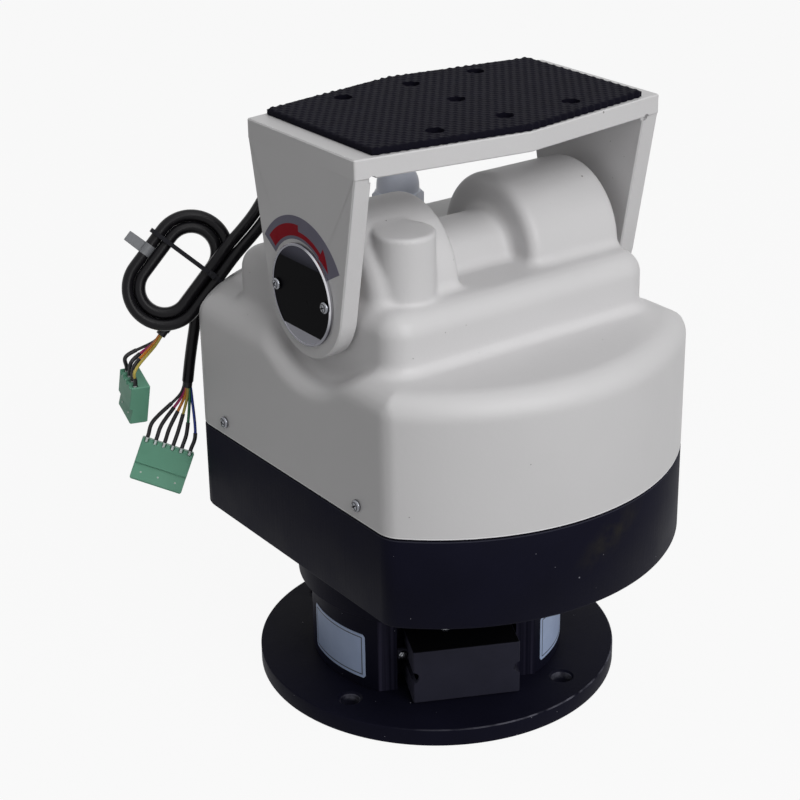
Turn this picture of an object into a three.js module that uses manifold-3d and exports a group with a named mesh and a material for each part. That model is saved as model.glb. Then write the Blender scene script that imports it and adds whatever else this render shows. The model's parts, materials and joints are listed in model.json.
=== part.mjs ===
// Remote pan tilt head: a flanged column carries a housing that pans on a hollow spindle,
// and a welded yoke with a rubber-faced camera plate tilts on a cross shaft in that housing.
// Millimetres and degrees. +Z is up, the origin is the centre of the flange's underside,
// X lies along the tilt shaft and the curved front of the housing faces -Y.
import * as THREE from 'three';
import { mergeVertices } from 'three/addons/utils/BufferGeometryUtils.js';
import Module from 'manifold-3d';

const wasm = await Module();
wasm.setup();

// Clearances and working sizes shared by all pieces
const gap = 0.3;
const overrun = 2;
const weldTolerance = 0.0001;

// Base flange and column
const flangeRadius = 100;
const flangeThickness = 10;
const flangeChamfer = 0.8;
const flangeHoleRadius = 5.3;
const flangeHoleMargin = 17;
const flangeHoleCircleRadius = flangeRadius - flangeHoleMargin;
const flangeHoleCount = 4;
const flangeHoleTurn = 19;
const columnRadius = 70;
const columnTop = 87.5;
const collarRadius = 77;
const collarHeightShare = 0.382;
const collarChamfer = 0.8;
const columnFlatTurn = -115;
const columnFlatDistance = 55;
const columnBoreRadius = 30;
const columnRoofThickness = 8;
const roofBottom = columnTop - columnRoofThickness;
const pocketWidth = 66;
const pocketDepthDistance = 40;

// Connector cover in the column's pocket
const connectorWidth = 58.4;
const connectorHeight = 31.3;
const connectorShift = 1.8;
const connectorFrontDistance = 72;
const connectorLift = 0.7;
const connectorWall = 2;
const connectorNotchRadius = 3.3;
const terminalWidth = 42;
const terminalHeight = 16;
const terminalDepth = 10;
const earWidth = 5.2;
const earHeight = 5.6;
const earThickness = 3;
const earDistance = 57;
const earLift = 19.3;
const pocketScrewSpread = 20.7;
const pocketScrewShift = 0.65;
const pocketScrewDistance = 70.5;
const pocketHeadRadius = 4.2;
const pocketHeadHeight = 3.2;
const pocketShankRadius = 2;
const pocketShankLength = 9;

// Screw heads
const smallHeadRadius = 2.4;
const smallHeadHeight = 1.7;
const panHeadRadius = 3.2;
const panHeadHeight = 2.2;
const panShankRadius = 1.5;
const panShankLength = 6.5;
const badgeHeadRadius = 3;
const badgeShankRadius = 1.1;
const badgeShankLength = 5;

// Housing plan: a circle cut by two flats
const planRadius = 130;
const planCentreY = -4;
const flatHalfWidth = 97;
const planCornerRadius = 14;
const ringClearance = 2.5;
const ringBottom = columnTop + ringClearance;
const ringHeight = 50;
const partingHeight = ringBottom + ringHeight;
const ringWall = 5;
const ringFloor = 6;
const lipHeight = 16;
const lipWall = 3;
const lipClearance = 0.4;
const gasketWidth = 2.4;
const gasketThickness = 1;
const gasketGap = 0.3;

// Pan drive
const spindleRadius = 20;
const spindleBoreRadius = 12;
const spindleDrop = 21.5;
const spindleBottom = roofBottom - spindleDrop;
const spindleRise = 8;
const spindleFlangeRadius = 27;
const spindleFlangeThickness = 6;
const panWheelShare = 9 / 26;
const panWheelRadius = planRadius * panWheelShare;
const panWheelTeeth = 40;
const panWheelToothDepth = 1.6;
const panWheelLift = 22;
const panWheelBottom = ringBottom + panWheelLift;
const panWheelThickness = 12;
const spindleTop = panWheelBottom + panWheelThickness + spindleRise;
const panBearingRadius = 32;
const panBearingHeight = 10;
const panWormRadius = 7.5;
const panWormLength = 34;
const wormShaftRadius = 4;
const wormThreadDepth = 1.4;
const wormThreadCount = 5;
const panShaftEnd = 24;
const panGearboxShift = 12;
const panGearboxLength = 14;
const panGearboxWidth = 36;
const panMotorRadius = 20;
const panMotorClearance = 2.8;
const wormBearingThickness = 9;
const wormBearingWidth = 20;
const switchLength = 20;
const switchWidth = 7;
const switchHeight = 11;

// Cover castings
const coverWall = 3.5;
const shoulderRise = 74;
const shoulderHeight = partingHeight + shoulderRise;
const shoulderSoft = 20;
const stepSetback = 14.5;
const stepHalfWidth = flatHalfWidth - stepSetback;
const stepFrontY = -78;
const stepRearY = 68;
const stepCornerRadius = 14;
const stepSoft = 12;
const scoopRadius = 47;
const sideScrewLift = 8;
const sideScrewHeight = partingHeight + sideScrewLift;
const sideScrewInset = 18.5;
const flatEndReach = planRadius - planCornerRadius;
const flatEndY = Math.sqrt(flatEndReach ** 2 - (flatHalfWidth - planCornerRadius) ** 2);
const sideScrewFrontY = planCentreY - flatEndY + sideScrewInset;
const sideScrewRearY = planCentreY + flatEndY - sideScrewInset;

// Tilt axis and what is turned about it
const tiltY = -20;
const stepRise = 30;
const tiltZ = shoulderHeight + stepRise;
const humpRadius = 39;
const humpSoft = 9;
const humpEndSoft = 2.5;
const humpSetback = 5.5;
const humpOuterX = stepHalfWidth - humpSetback;
const leftHumpInnerX = -27;
const rightHumpInnerX = 19;
const linkRadius = 21;
const bossInset = 21;
const bossX = bossInset - humpOuterX;
const bossDistance = 32;
const bossY = tiltY - bossDistance;
const bossRadius = 15.5;
const bossRise = 34;
const bossTop = tiltZ + bossRise;
const bossSoft = 2;
const tiltShaftRadius = 8;
const tiltBushRadius = 13;
const tiltBushLength = 9;
const tiltWheelRadius = 25;
const tiltWheelTeeth = 30;
const tiltWheelToothDepth = 1.4;
const tiltWheelThickness = 12;
const tiltWormLength = 34;
const tiltWormDrop = 16;
const tiltWormBottom = tiltZ - tiltWormDrop;
const tiltBushHeight = 5;
const motorPlateDrop = 37;
const motorPlateBottom = tiltZ - motorPlateDrop;
const motorPlateThickness = 3;
const motorPlateDepth = 44;
const motorPlateMargin = 26;
const motorPlateInnerX = bossX + motorPlateMargin;
const tiltMotorRadius = 21;
const tiltMotorHeight = 56;
const camRadius = 17;
const camThickness = 6;
const camDistance = 19;
const camX = rightHumpInnerX + camDistance;
const camNotchRadius = 5;
const switchPlateDistance = 14;
const switchPlateX = camX + switchPlateDistance;
const switchPlateThickness = 2;
const switchPlateDrop = 18;
const switchPlateBottom = tiltZ - switchPlateDrop;

// Yoke
const armThickness = 10;
const armClearance = 1.5;
const armInnerX = stepHalfWidth + armClearance;
const armTopHalfWidth = 46.5;
const armEndRadius = 32.5;
const plateRise = 78.8;
const plateTop = tiltZ + plateRise;
const plateThickness = 10;
const plateBow = 13.5;
const padEndGap = 1;
const padHalfLength = armInnerX - padEndGap;
const padThickness = 3.6;
const padInset = 1.2;
const plateHoleRadius = 4.75;
const plateHoleSpacingX = 42;
const plateHoleSpacingY = 38.5;
const badgeRadius = 26;
const badgeThickness = 1.6;
const badgeScrewSpread = 21.4;
const endDiscRadius = 20;
const endScrewSpread = 15;

// Cable gland on the rear shoulder
const glandX = 46;
const glandInset = 30;
const glandY = planCentreY + planRadius - glandInset;
const glandPadRadius = 17;
const glandPadHeight = 4;
const glandHexAcross = 26;
const glandHexHeight = 7;
const glandBodyRadius = 10.5;
const glandCapHexHeight = 15;
const glandCapRadius = 12.4;
const glandCapHeight = 27.4;
const glandMouthRadius = 7;
const glandThreadRadius = 10;
const glandThreadLength = 12;

// Control board
const boardLength = 90;
const boardHeight = 60;
const boardThickness = 1.6;
const boardInset = 36;
const boardY = planCentreY + planRadius - boardInset;

// Cables: the sheath, the tied hank of both cables, and the coloured wires
const cableRadius = 3.2;
const hankStraight = 25;
const hankInnerRadius = 13.6;
const hankSpacing = 7;
const hankPitch = 7.6;
const hankTurns = 2;
const hankEndRun = 8;
const hankLoopSteps = 24;
const hankSides = 6;
const gapPoints = 400;
const leadRun = 12;
const leadSides = 10;
const leadSteps = 22;
const tailReach = 36;
const tailSteps = 10;
const hankCentre = new THREE.Vector3(-87.7, 118, 215.8);
const tieWidth = 2.4;
const tieThickness = 1;
const tieLockWidth = 4.8;
const tieAlong = -9;
const tieTailLength = 9;
const wireRadius = 0.9;
const wireSides = 8;
const wireSteps = 7;
const sleeveLength = 3;
const rootShare = 0.14;
const plugThickness = 11;
const plugLength = 24.5;
const plugPolePitch = 5.08;
const plugPoles = 6;
const smallPlugPoles = 4;
const plugLedgeShare = 0.6;
const plugLedgeDepth = 1.6;
const plugStraight = 7;

// Places along the free cables, and the top middle of each plug, chosen by eye
const leadRoute = [
  [44, 96, 263], [36, 97, 272], [24, 98, 277], [6, 99, 277], [-14, 100, 269], [-32, 101, 256],
  [-47, 99.5, 241],
];
const outerTailRoute = [[-78.6, 115.6, 190], [-81, 116.6, 178], [-84, 117.4, 162], [-86, 118, 149]];
const smallPlugTop = [-117.6, 120.4, 158.5];
const plugTop = [-100.2, 119.2, 112.9];
const smallPlugLean = 8.6;
const smallPlugTip = 31;
const smallPlugTurn = -68;
const plugLean = 22.1;

// Shares of the sizes that they follow
const headCrownShare = 0.55;
const headTopShare = 0.7;
const toothShares = [[0, 0], [0.3, 1], [0.55, 1], [0.85, 0]];
const threadShares = [[0, 0], [0.3, 1], [0.6, 1], [0.9, 0]];
const leastCornerShare = 0.14;

// Step counts of the round forms
const roundSteps = 72;
const shaftSteps = 24;
const smallSteps = 12;
const softSteps = 3;
const planArcSteps = 16;
const cornerSteps = 3;

const rad = THREE.MathUtils.degToRad;

// Finishes
const finishes = {
  blackPaint: { color: 0x1a1a22, roughness: 0.45, metalness: 0.3 },
  greyPaint: { color: 0xb9b8b6, roughness: 0.5, metalness: 0.1 },
  blackPlastic: { color: 0x202024, roughness: 0.55, metalness: 0 },
  greenPlastic: { color: 0x3f8a68, roughness: 0.5, metalness: 0 },
  glandNylon: { color: 0x76808c, roughness: 0.35, metalness: 0 },
  rubber: { color: 0x15151c, roughness: 0.8, metalness: 0 },
  sheath: { color: 0x111114, roughness: 0.5, metalness: 0 },
  steel: { color: 0xb5b8bc, roughness: 0.3, metalness: 0.9 },
  bronze: { color: 0xb08a4a, roughness: 0.4, metalness: 0.8 },
  aluminium: { color: 0xc4c6c9, roughness: 0.4, metalness: 0.8 },
  board: { color: 0x1f5a34, roughness: 0.6, metalness: 0 },
};

// A closed body. Its geometry is placed by matrices, and joined or cut as a solid.
class Body {
  constructor(geometry, shared = false) {
    this.geometry = geometry;
    this.shared = shared;
  }

  static fromSolid(manifold) {
    const mesh = manifold.getMesh();
    const geometry = new THREE.BufferGeometry();
    geometry.setAttribute('position', new THREE.Float32BufferAttribute(mesh.vertProperties, 3));
    geometry.setIndex(Array.from(mesh.triVerts));
    return new Body(geometry, true);
  }

  // The geometry with one vertex where several faces meet.
  merged() {
    if (this.shared) {
      return this.geometry;
    }
    const plain = this.geometry.clone();
    for (const name of Object.keys(plain.attributes)) {
      if (name !== 'position') plain.deleteAttribute(name);
    }
    return mergeVertices(plain, weldTolerance);
  }

  // The solid of the geometry, with its faces pointing out.
  solid() {
    const merged = this.merged();
    const index = merged.index.array;
    const corner = (k) => new THREE.Vector3().fromBufferAttribute(merged.attributes.position, index[k]);
    const kept = [];
    let volume = 0;
    for (let k = 0; k < index.length; k += 3) {
      const [first, second, third] = index.slice(k, k + 3);
      if (first !== second && second !== third && third !== first) {
        volume += corner(k).dot(corner(k + 1).cross(corner(k + 2)));
        kept.push(first, second, third);
      }
    }
    if (volume < 0) kept.reverse();
    return new wasm.Manifold(new wasm.Mesh({
      numProp: 3,
      vertProperties: Float32Array.from(merged.attributes.position.array),
      triVerts: Uint32Array.from(kept),
    }));
  }

  add(other) {
    return Body.fromSolid(this.solid().add(other.solid()));
  }

  subtract(other) {
    return Body.fromSolid(this.solid().subtract(other.solid()));
  }

  intersect(other) {
    return Body.fromSolid(this.solid().intersect(other.solid()));
  }

  moved(matrix) {
    return new Body(this.geometry.clone().applyMatrix4(matrix), this.shared);
  }

  translate(x, y, z) {
    return this.moved(new THREE.Matrix4().makeTranslation(x, y, z));
  }

  // Turns about X, then Y, then Z, in degrees.
  rotate(x, y, z) {
    const turn = new THREE.Euler(rad(x), rad(y), rad(z), 'ZYX');
    return this.moved(new THREE.Matrix4().makeRotationFromEuler(turn));
  }

  mirrorX() {
    return this.moved(new THREE.Matrix4().makeScale(-1, 1, 1));
  }
}

// A finished body becomes a named mesh of the group of pieces that move together.
const head = new THREE.Group();
const baseGroup = new THREE.Group();
const housingGroup = new THREE.Group();
const yokeGroup = new THREE.Group();
head.add(baseGroup, housingGroup);
housingGroup.add(yokeGroup);
function piece(group, name, finish, body) {
  const { geometry } = Body.fromSolid(body.solid());
  geometry.computeVertexNormals();
  const part = new THREE.Mesh(geometry, new THREE.MeshStandardMaterial(finishes[finish]));
  part.name = name;
  group.add(part);
}

// Turned solids: the profile is [radius, height] pairs that start and end on the axis.
function turned(profile, steps) {
  const points = profile.map(([radius, height]) => new THREE.Vector2(radius, height));
  const geometry = new THREE.LatheGeometry(points, steps);
  geometry.rotateX(Math.PI / 2);
  return new Body(geometry);
}

function disc(radius, bottom, top, steps = shaftSteps) {
  return turned([[0, bottom], [radius, bottom], [radius, top], [0, top]], steps);
}

function ring(innerRadius, radius, bottom, top, steps = shaftSteps) {
  const profile = [
    [innerRadius, bottom], [radius, bottom], [radius, top], [innerRadius, top], [innerRadius, bottom],
  ];
  return turned(profile, steps);
}

// Turns a solid built about Z so that its axis lies along X, with its height along +X.
function alongX(body, y, z) {
  return body.rotate(0, 90, 0).translate(0, y, z);
}

function block(low, high) {
  const size = new THREE.Vector3().subVectors(high, low);
  const geometry = new THREE.BoxGeometry(size.x, size.y, size.z);
  geometry.translate((low.x + high.x) / 2, (low.y + high.y) / 2, (low.z + high.z) / 2);
  return new Body(geometry);
}

const at = (x, y, z) => new THREE.Vector3(x, y, z);

// A prism along Z from an outline of [x, y] pairs.
function prism(outline, bottom, top) {
  const shape = new THREE.Shape(outline.map(([x, y]) => new THREE.Vector2(x, y)));
  const geometry = new THREE.ExtrudeGeometry(shape, { depth: top - bottom, bevelEnabled: false });
  geometry.translate(0, 0, bottom);
  return new Body(geometry);
}

// A solid lofted through closed rings of equal point counts, closed by flat fans.
function loft(rings) {
  const count = rings[0].length;
  const positions = rings.flat().flatMap((point) => [point.x, point.y, point.z]);
  const indices = [];
  for (let row = 0; row + 1 < rings.length; row += 1) {
    for (let k = 0; k < count; k += 1) {
      const next = (k + 1) % count;
      const low = row * count;
      const high = low + count;
      indices.push(low + k, low + next, high + next, low + k, high + next, high + k);
    }
  }
  for (const [row, flip] of [[0, true], [rings.length - 1, false]]) {
    const middle = positions.length / 3;
    const centre = rings[row].reduce((sum, point) => sum.add(point), at(0, 0, 0)).divideScalar(count);
    positions.push(centre.x, centre.y, centre.z);
    for (let k = 0; k < count; k += 1) {
      const pair = [row * count + k, row * count + ((k + 1) % count)];
      if (flip) pair.reverse();
      indices.push(middle, ...pair);
    }
  }
  const geometry = new THREE.BufferGeometry();
  geometry.setAttribute('position', new THREE.Float32BufferAttribute(positions, 3));
  geometry.setIndex(indices);
  return new Body(geometry);
}

// Points of an arc about a centre, both ends included.
function arc(x, y, radius, start, end, steps) {
  return Array.from({ length: steps + 1 }, (_, k) => {
    const turn = start + ((end - start) * k) / steps;
    return [x + radius * Math.cos(turn), y + radius * Math.sin(turn)];
  });
}

// Housing plan drawn in by an inset: two front and rear arcs, two flats, four rounded corners.
function housingPlan(inset) {
  const radius = planRadius - inset;
  const flat = flatHalfWidth - inset;
  const corner = Math.max(planCornerRadius - inset, planCornerRadius * leastCornerShare);
  const cornerX = flat - corner;
  const cornerY = Math.sqrt((radius - corner) ** 2 - cornerX ** 2);
  const turn = Math.atan2(cornerY, cornerX);
  const right = arc(cornerX, cornerY, corner, 0, turn, cornerSteps);
  const rear = arc(0, 0, radius, turn, Math.PI - turn, planArcSteps).slice(1);
  const left = arc(-cornerX, cornerY, corner, Math.PI - turn, Math.PI, cornerSteps).slice(1);
  const half = [...right, ...rear, ...left];
  const other = half.map(([x, y]) => [-x, -y]);
  return [...half, ...other].map(([x, y]) => [x, y + planCentreY]);
}

// Plan of the raised step drawn in by an inset.
function stepPlan(inset) {
  const corner = Math.max(stepCornerRadius - inset, stepCornerRadius * leastCornerShare);
  const halfX = stepHalfWidth - inset - corner;
  const front = stepFrontY + inset + corner;
  const rear = stepRearY - inset - corner;
  const quarter = Math.PI / 2;
  return [
    ...arc(halfX, rear, corner, 0, quarter, cornerSteps),
    ...arc(-halfX, rear, corner, quarter, 2 * quarter, cornerSteps),
    ...arc(-halfX, front, corner, 2 * quarter, 3 * quarter, cornerSteps),
    ...arc(halfX, front, corner, 3 * quarter, 4 * quarter, cornerSteps),
  ];
}

// A prism over a plan whose top edge is rounded.
function softPrism(plan, inset, bottom, top, soft) {
  const level = (drawnIn, height) => plan(inset + drawnIn).map(([x, y]) => at(x, y, height));
  const rings = [level(0, bottom)];
  for (let k = 0; k <= softSteps; k += 1) {
    const turn = ((Math.PI / 2) * k) / softSteps;
    rings.push(level(soft * (1 - Math.cos(turn)), top - soft + soft * Math.sin(turn)));
  }
  return loft(rings);
}

// A drum along X about the tilt axis whose two end edges are rounded.
function softDrum(radius, startX, endX, startSoft, endSoft) {
  const quarter = Math.PI / 2;
  const start = arc(radius - startSoft, startX + startSoft, startSoft, -quarter, 0, softSteps);
  const end = arc(radius - endSoft, endX - endSoft, endSoft, 0, quarter, softSteps);
  return alongX(turned([[0, startX], ...start, ...end, [0, endX]], shaftSteps), tiltY, tiltZ);
}

function shaftX(radius, startX, endX, y = tiltY, z = tiltZ, steps = shaftSteps) {
  return alongX(disc(radius, startX, endX, steps), y, z);
}

// A screw along +Z whose flat head underside is at height 0.
function screw(headRadius, headHeight, shankRadius, shankLength) {
  const crown = headHeight * headCrownShare;
  return turned([
    [0, -shankLength], [shankRadius, -shankLength], [shankRadius, 0], [headRadius, 0],
    [headRadius, headHeight - crown], [headRadius * headTopShare, headHeight], [0, headHeight],
  ], smallSteps);
}

// A toothed wheel about Z.
function toothedWheel(radius, depth, teeth, bottom, top) {
  const outline = [];
  for (let k = 0; k < teeth; k += 1) {
    const start = (2 * Math.PI * k) / teeth;
    const step = (2 * Math.PI) / teeth;
    for (const [share, tall] of toothShares) {
      const turn = start + step * share;
      const reach = radius - depth * (1 - tall);
      outline.push([reach * Math.cos(turn), reach * Math.sin(turn)]);
    }
  }
  return prism(outline, bottom, top);
}

// A worm about Z: a shaft with thread ridges between two plain ends.
function worm(radius, bottom, length, shaftEnds) {
  const low = bottom - shaftEnds;
  const profile = [[0, low], [wormShaftRadius, low], [wormShaftRadius, bottom]];
  const pitch = length / wormThreadCount;
  for (let k = 0; k < wormThreadCount; k += 1) {
    const foot = bottom + pitch * k;
    for (const [share, tall] of threadShares) {
      profile.push([radius - wormThreadDepth * (1 - tall), foot + pitch * share]);
    }
  }
  const top = bottom + length;
  profile.push([radius - wormThreadDepth, top], [wormShaftRadius, top]);
  profile.push([wormShaftRadius, top + shaftEnds], [0, top + shaftEnds]);
  return turned(profile, smallSteps);
}

// Base: flange and column
const holeTurn = (k) => rad(flangeHoleTurn + (360 * k) / flangeHoleCount);
const holeAngles = Array.from({ length: flangeHoleCount }, (_, k) => holeTurn(k));
let flange = turned([
  [0, 0], [flangeRadius - flangeChamfer, 0], [flangeRadius, flangeChamfer],
  [flangeRadius, flangeThickness - flangeChamfer], [flangeRadius - flangeChamfer, flangeThickness],
  [0, flangeThickness],
], roundSteps);
for (const turn of holeAngles) {
  const hole = disc(flangeHoleRadius, -overrun, flangeThickness + overrun, smallSteps);
  flange = flange.subtract(hole.translate(
    flangeHoleCircleRadius * Math.cos(turn), flangeHoleCircleRadius * Math.sin(turn), 0,
  ));
}
piece(baseGroup, 'base_flange', 'blackPaint', flange);

// Turns a solid built in front of +X so that it faces along the column's flat.
const flatTurned = (body) => body.rotate(0, 0, columnFlatTurn);
const columnBottom = flangeThickness + gap;
const collarBottom = columnTop - (columnTop - columnBottom) * collarHeightShare;
const halfPocket = pocketWidth / 2;
let column = turned([
  [0, columnBottom], [columnRadius, columnBottom], [columnRadius, collarBottom],
  [collarRadius - collarChamfer, collarBottom], [collarRadius, collarBottom + collarChamfer],
  [collarRadius, columnTop], [0, columnTop],
], roundSteps);
column = column.subtract(flatTurned(block(
  at(columnFlatDistance, -collarRadius, columnBottom - overrun),
  at(collarRadius + overrun, collarRadius, collarBottom),
)));
column = column.subtract(flatTurned(block(
  at(pocketDepthDistance, -halfPocket, columnBottom - overrun),
  at(collarRadius, halfPocket, collarBottom),
)));
const pocketScrewSides = [-1, 1].map((side) => pocketScrewShift + (side * pocketScrewSpread) / 2);
for (const side of pocketScrewSides) {
  const bore = disc(pocketShankRadius + gap, collarBottom - overrun, collarBottom + pocketShankLength + gap,
    smallSteps);
  column = column.subtract(flatTurned(bore.translate(pocketScrewDistance, side, 0)));
}
column = column.subtract(disc(columnBoreRadius, columnBottom - overrun, roofBottom));
column = column.subtract(disc(spindleRadius + gap, roofBottom - overrun, columnTop + overrun));
piece(baseGroup, 'pedestal', 'blackPaint', column);

// Connector cover, terminal block and the screws in and beside the pocket
const connectorBottom = columnBottom + connectorLift;
const connectorTop = connectorBottom + connectorHeight;
const connectorMiddle = (connectorBottom + connectorTop) / 2;
const connectorLeft = connectorShift - connectorWidth / 2;
const connectorRight = connectorShift + connectorWidth / 2;
const earBottom = connectorBottom + earLift;
const terminalFront = pocketDepthDistance + gap + terminalDepth;
let connector = block(
  at(pocketDepthDistance + gap, connectorLeft, connectorBottom),
  at(connectorFrontDistance, connectorRight, connectorTop),
).add(block(
  at(earDistance - earThickness, connectorLeft - earWidth, earBottom),
  at(earDistance, connectorLeft + connectorWall, earBottom + earHeight),
));
connector = connector.subtract(block(
  at(pocketDepthDistance - overrun, connectorLeft + connectorWall, connectorBottom + connectorWall),
  at(connectorFrontDistance - connectorWall, connectorRight - connectorWall, connectorTop - connectorWall),
));
for (const side of [connectorLeft, connectorRight]) {
  connector = connector.subtract(shaftX(
    connectorNotchRadius, pocketDepthDistance, connectorFrontDistance + overrun, side, connectorMiddle,
    smallSteps,
  ));
}
piece(baseGroup, 'connector_cover', 'blackPlastic', flatTurned(connector));
piece(baseGroup, 'terminal_block', 'greenPlastic', flatTurned(block(
  at(pocketDepthDistance + gap, connectorShift - terminalWidth / 2, connectorMiddle - terminalHeight / 2),
  at(terminalFront, connectorShift + terminalWidth / 2, connectorMiddle + terminalHeight / 2),
)));
for (const [k, name] of ['pocket_screw_left', 'pocket_screw_right'].entries()) {
  const fastener = screw(pocketHeadRadius, pocketHeadHeight, pocketShankRadius, pocketShankLength)
    .rotate(180, 0, 0)
    .translate(pocketScrewDistance, pocketScrewSides[k], collarBottom - gap);
  piece(baseGroup, name, 'steel', flatTurned(fastener));
}
piece(baseGroup, 'connector_screw', 'steel', flatTurned(
  alongX(disc(smallHeadRadius, 0, smallHeadHeight, smallSteps), 0, 0)
    .translate(earDistance + gap, connectorLeft - earWidth / 2, earBottom + earHeight / 2),
));

// Pan spindle and the fixed worm wheel on it
const spindleFlangeTop = roofBottom - gap;
const spindle = turned([
  [spindleBoreRadius, spindleBottom], [spindleFlangeRadius, spindleBottom],
  [spindleFlangeRadius, spindleBottom + spindleFlangeThickness],
  [spindleRadius, spindleBottom + spindleFlangeThickness],
  [spindleRadius, spindleTop], [spindleBoreRadius, spindleTop], [spindleBoreRadius, spindleBottom],
], shaftSteps);
const spindleCollar = ring(spindleRadius - gap, spindleFlangeRadius, spindleBottom, spindleFlangeTop);
piece(baseGroup, 'pan_spindle', 'steel', spindle.add(spindleCollar));
const panWheelTop = panWheelBottom + panWheelThickness;
const panWheel = toothedWheel(
  panWheelRadius, panWheelToothDepth, panWheelTeeth, panWheelBottom, panWheelTop,
);
piece(baseGroup, 'pan_wheel', 'bronze', panWheel.subtract(
  disc(spindleRadius + gap, panWheelBottom - overrun, panWheelTop + overrun),
));

// Lower housing: a black ring with a floor, and a lip that the cover slips over
const lipInset = coverWall + lipClearance;
const lipTop = partingHeight + lipHeight;
const bearingSeatRadius = panBearingRadius + gap;
const lowerHousing = prism(housingPlan(0), ringBottom, partingHeight - gasketThickness - gasketGap)
  .add(prism(housingPlan(lipInset), ringBottom + ringFloor, lipTop))
  .subtract(prism(housingPlan(lipInset + lipWall), ringBottom + ringFloor, lipTop + overrun))
  .subtract(disc(bearingSeatRadius, ringBottom - overrun, ringBottom + ringFloor + overrun));

// Side screws through the cover into the lip
const sideScrews = [
  ['side_screw_front_left', -1, sideScrewFrontY],
  ['side_screw_rear_left', -1, sideScrewRearY],
  ['side_screw_front_right', 1, sideScrewFrontY],
  ['side_screw_rear_right', 1, sideScrewRearY],
];
const screwBore = panShankRadius + gap;
const boresOf = (radius) => sideScrews.map(([, side, y]) => shaftX(radius,
  side < 0 ? -flatHalfWidth - overrun : flatHalfWidth - lipInset - lipWall - overrun,
  side < 0 ? lipInset + lipWall + overrun - flatHalfWidth : flatHalfWidth + overrun,
  y, sideScrewHeight, smallSteps));
const withoutBores = (body) => boresOf(screwBore).reduce((left, bore) => left.subtract(bore), body);
piece(housingGroup, 'lower_housing', 'blackPaint', withoutBores(lowerHousing));
for (const [name, side, y] of sideScrews) {
  const fastener = screw(panHeadRadius, panHeadHeight, panShankRadius, panShankLength)
    .rotate(0, side * 90, 0)
    .translate(side * (flatHalfWidth + gap), y, sideScrewHeight);
  piece(housingGroup, name, 'steel', fastener);
}
const gasketOuter = prism(housingPlan(gap), partingHeight - gasketThickness, partingHeight - gasketGap);
const gasketInner = prism(housingPlan(gap + gasketWidth), partingHeight - gasketThickness - overrun,
  partingHeight + overrun);
piece(housingGroup, 'cover_gasket', 'rubber', gasketOuter.subtract(gasketInner));

// Upper cover: shoulder, raised step, two humps with a link between them, boss and gland pad
function coverForm(inset, bottom) {
  const shoulder = softPrism(housingPlan, inset, bottom, shoulderHeight - inset, shoulderSoft - inset);
  const step = softPrism(stepPlan, inset, bottom, tiltZ - inset, stepSoft - inset);
  const radius = humpRadius - inset;
  const soft = humpSoft - inset;
  const leftHump = softDrum(radius, inset - humpOuterX, leftHumpInnerX - inset, soft, humpEndSoft);
  const rightHump = softDrum(radius, rightHumpInnerX + inset, humpOuterX - inset, soft, humpEndSoft);
  const linkStart = leftHumpInnerX - inset - overrun;
  const link = shaftX(linkRadius - inset, linkStart, rightHumpInnerX + inset + overrun);
  const bossFoot = shoulderHeight + inset;
  const edgeCentre = [bossRadius - inset - bossSoft, bossTop - inset - bossSoft];
  const bossEdge = arc(...edgeCentre, bossSoft, 0, Math.PI / 2, softSteps);
  const boss = turned([
    [0, bossFoot], [bossRadius - inset, bossFoot], ...bossEdge, [0, bossTop - inset],
  ], shaftSteps).translate(bossX, bossY, 0);
  return shoulder.add(step).add(leftHump).add(rightHump).add(link).add(boss);
}
const sideCut = (radius, startX) => {
  const reach = flatHalfWidth + overrun;
  return shaftX(radius, -reach, -startX).add(shaftX(radius, startX, reach));
};
const glandPadTop = shoulderHeight + glandPadHeight;
const glandPad = disc(glandPadRadius, shoulderHeight - shoulderSoft, glandPadTop)
  .translate(glandX, glandY, 0);
const outerForm = coverForm(0, partingHeight).add(glandPad).subtract(sideCut(scoopRadius, stepHalfWidth));
const innerForm = coverForm(coverWall, partingHeight - overrun)
  .subtract(sideCut(scoopRadius + coverWall, stepHalfWidth - coverWall));
const bushBore = shaftX(tiltBushRadius + gap, -flatHalfWidth, flatHalfWidth);
const shellOfRight = (body, startX, endX) => body.intersect(block(
  at(startX, tiltY - humpRadius, tiltZ - humpRadius), at(endX, tiltY + humpRadius, tiltZ + humpRadius),
));
const bushBores = shellOfRight(bushBore, -flatHalfWidth, coverWall * 3 - stepHalfWidth)
  .add(shellOfRight(bushBore, stepHalfWidth - coverWall * 3, flatHalfWidth));
const glandBore = disc(glandThreadRadius + gap, shoulderHeight - shoulderSoft * 2, glandPadTop + overrun)
  .translate(glandX, glandY, 0);
const coverShell = outerForm.subtract(innerForm).subtract(bushBores).subtract(glandBore);
piece(housingGroup, 'upper_cover', 'greyPaint', withoutBores(coverShell));

// Pan bearing, motor, gearbox and worm on the floor of the lower housing
const floorTop = ringBottom + ringFloor + gap;
piece(housingGroup, 'pan_bearing', 'steel', ring(
  spindleRadius + gap, panBearingRadius, ringBottom, ringBottom + panBearingHeight,
));
const panWormY = panWheelRadius + panWormRadius + gap * 2;
const panWormZ = panWheelBottom + panWheelThickness / 2;
const panWormStart = -panWormLength / 2;
const panWormEnd = panWormLength / 2;
const panWorm = worm(panWormRadius, panWormStart, panWormLength, panShaftEnd);
piece(housingGroup, 'pan_worm', 'steel', alongX(panWorm, panWormY, panWormZ));
const shaftBore = shaftX(wormShaftRadius + gap, -flatHalfWidth, flatHalfWidth, panWormY, panWormZ);
const gearboxStart = panWormEnd + panGearboxShift;
const gearboxEnd = gearboxStart + panGearboxLength;
piece(housingGroup, 'pan_gearbox', 'aluminium', block(
  at(gearboxStart, panWormY - panGearboxWidth / 2, floorTop),
  at(gearboxEnd, panWormY + panGearboxWidth / 2, panWormZ + panMotorRadius),
).subtract(shaftBore));
const panMotorStart = gearboxEnd + gap;
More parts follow.
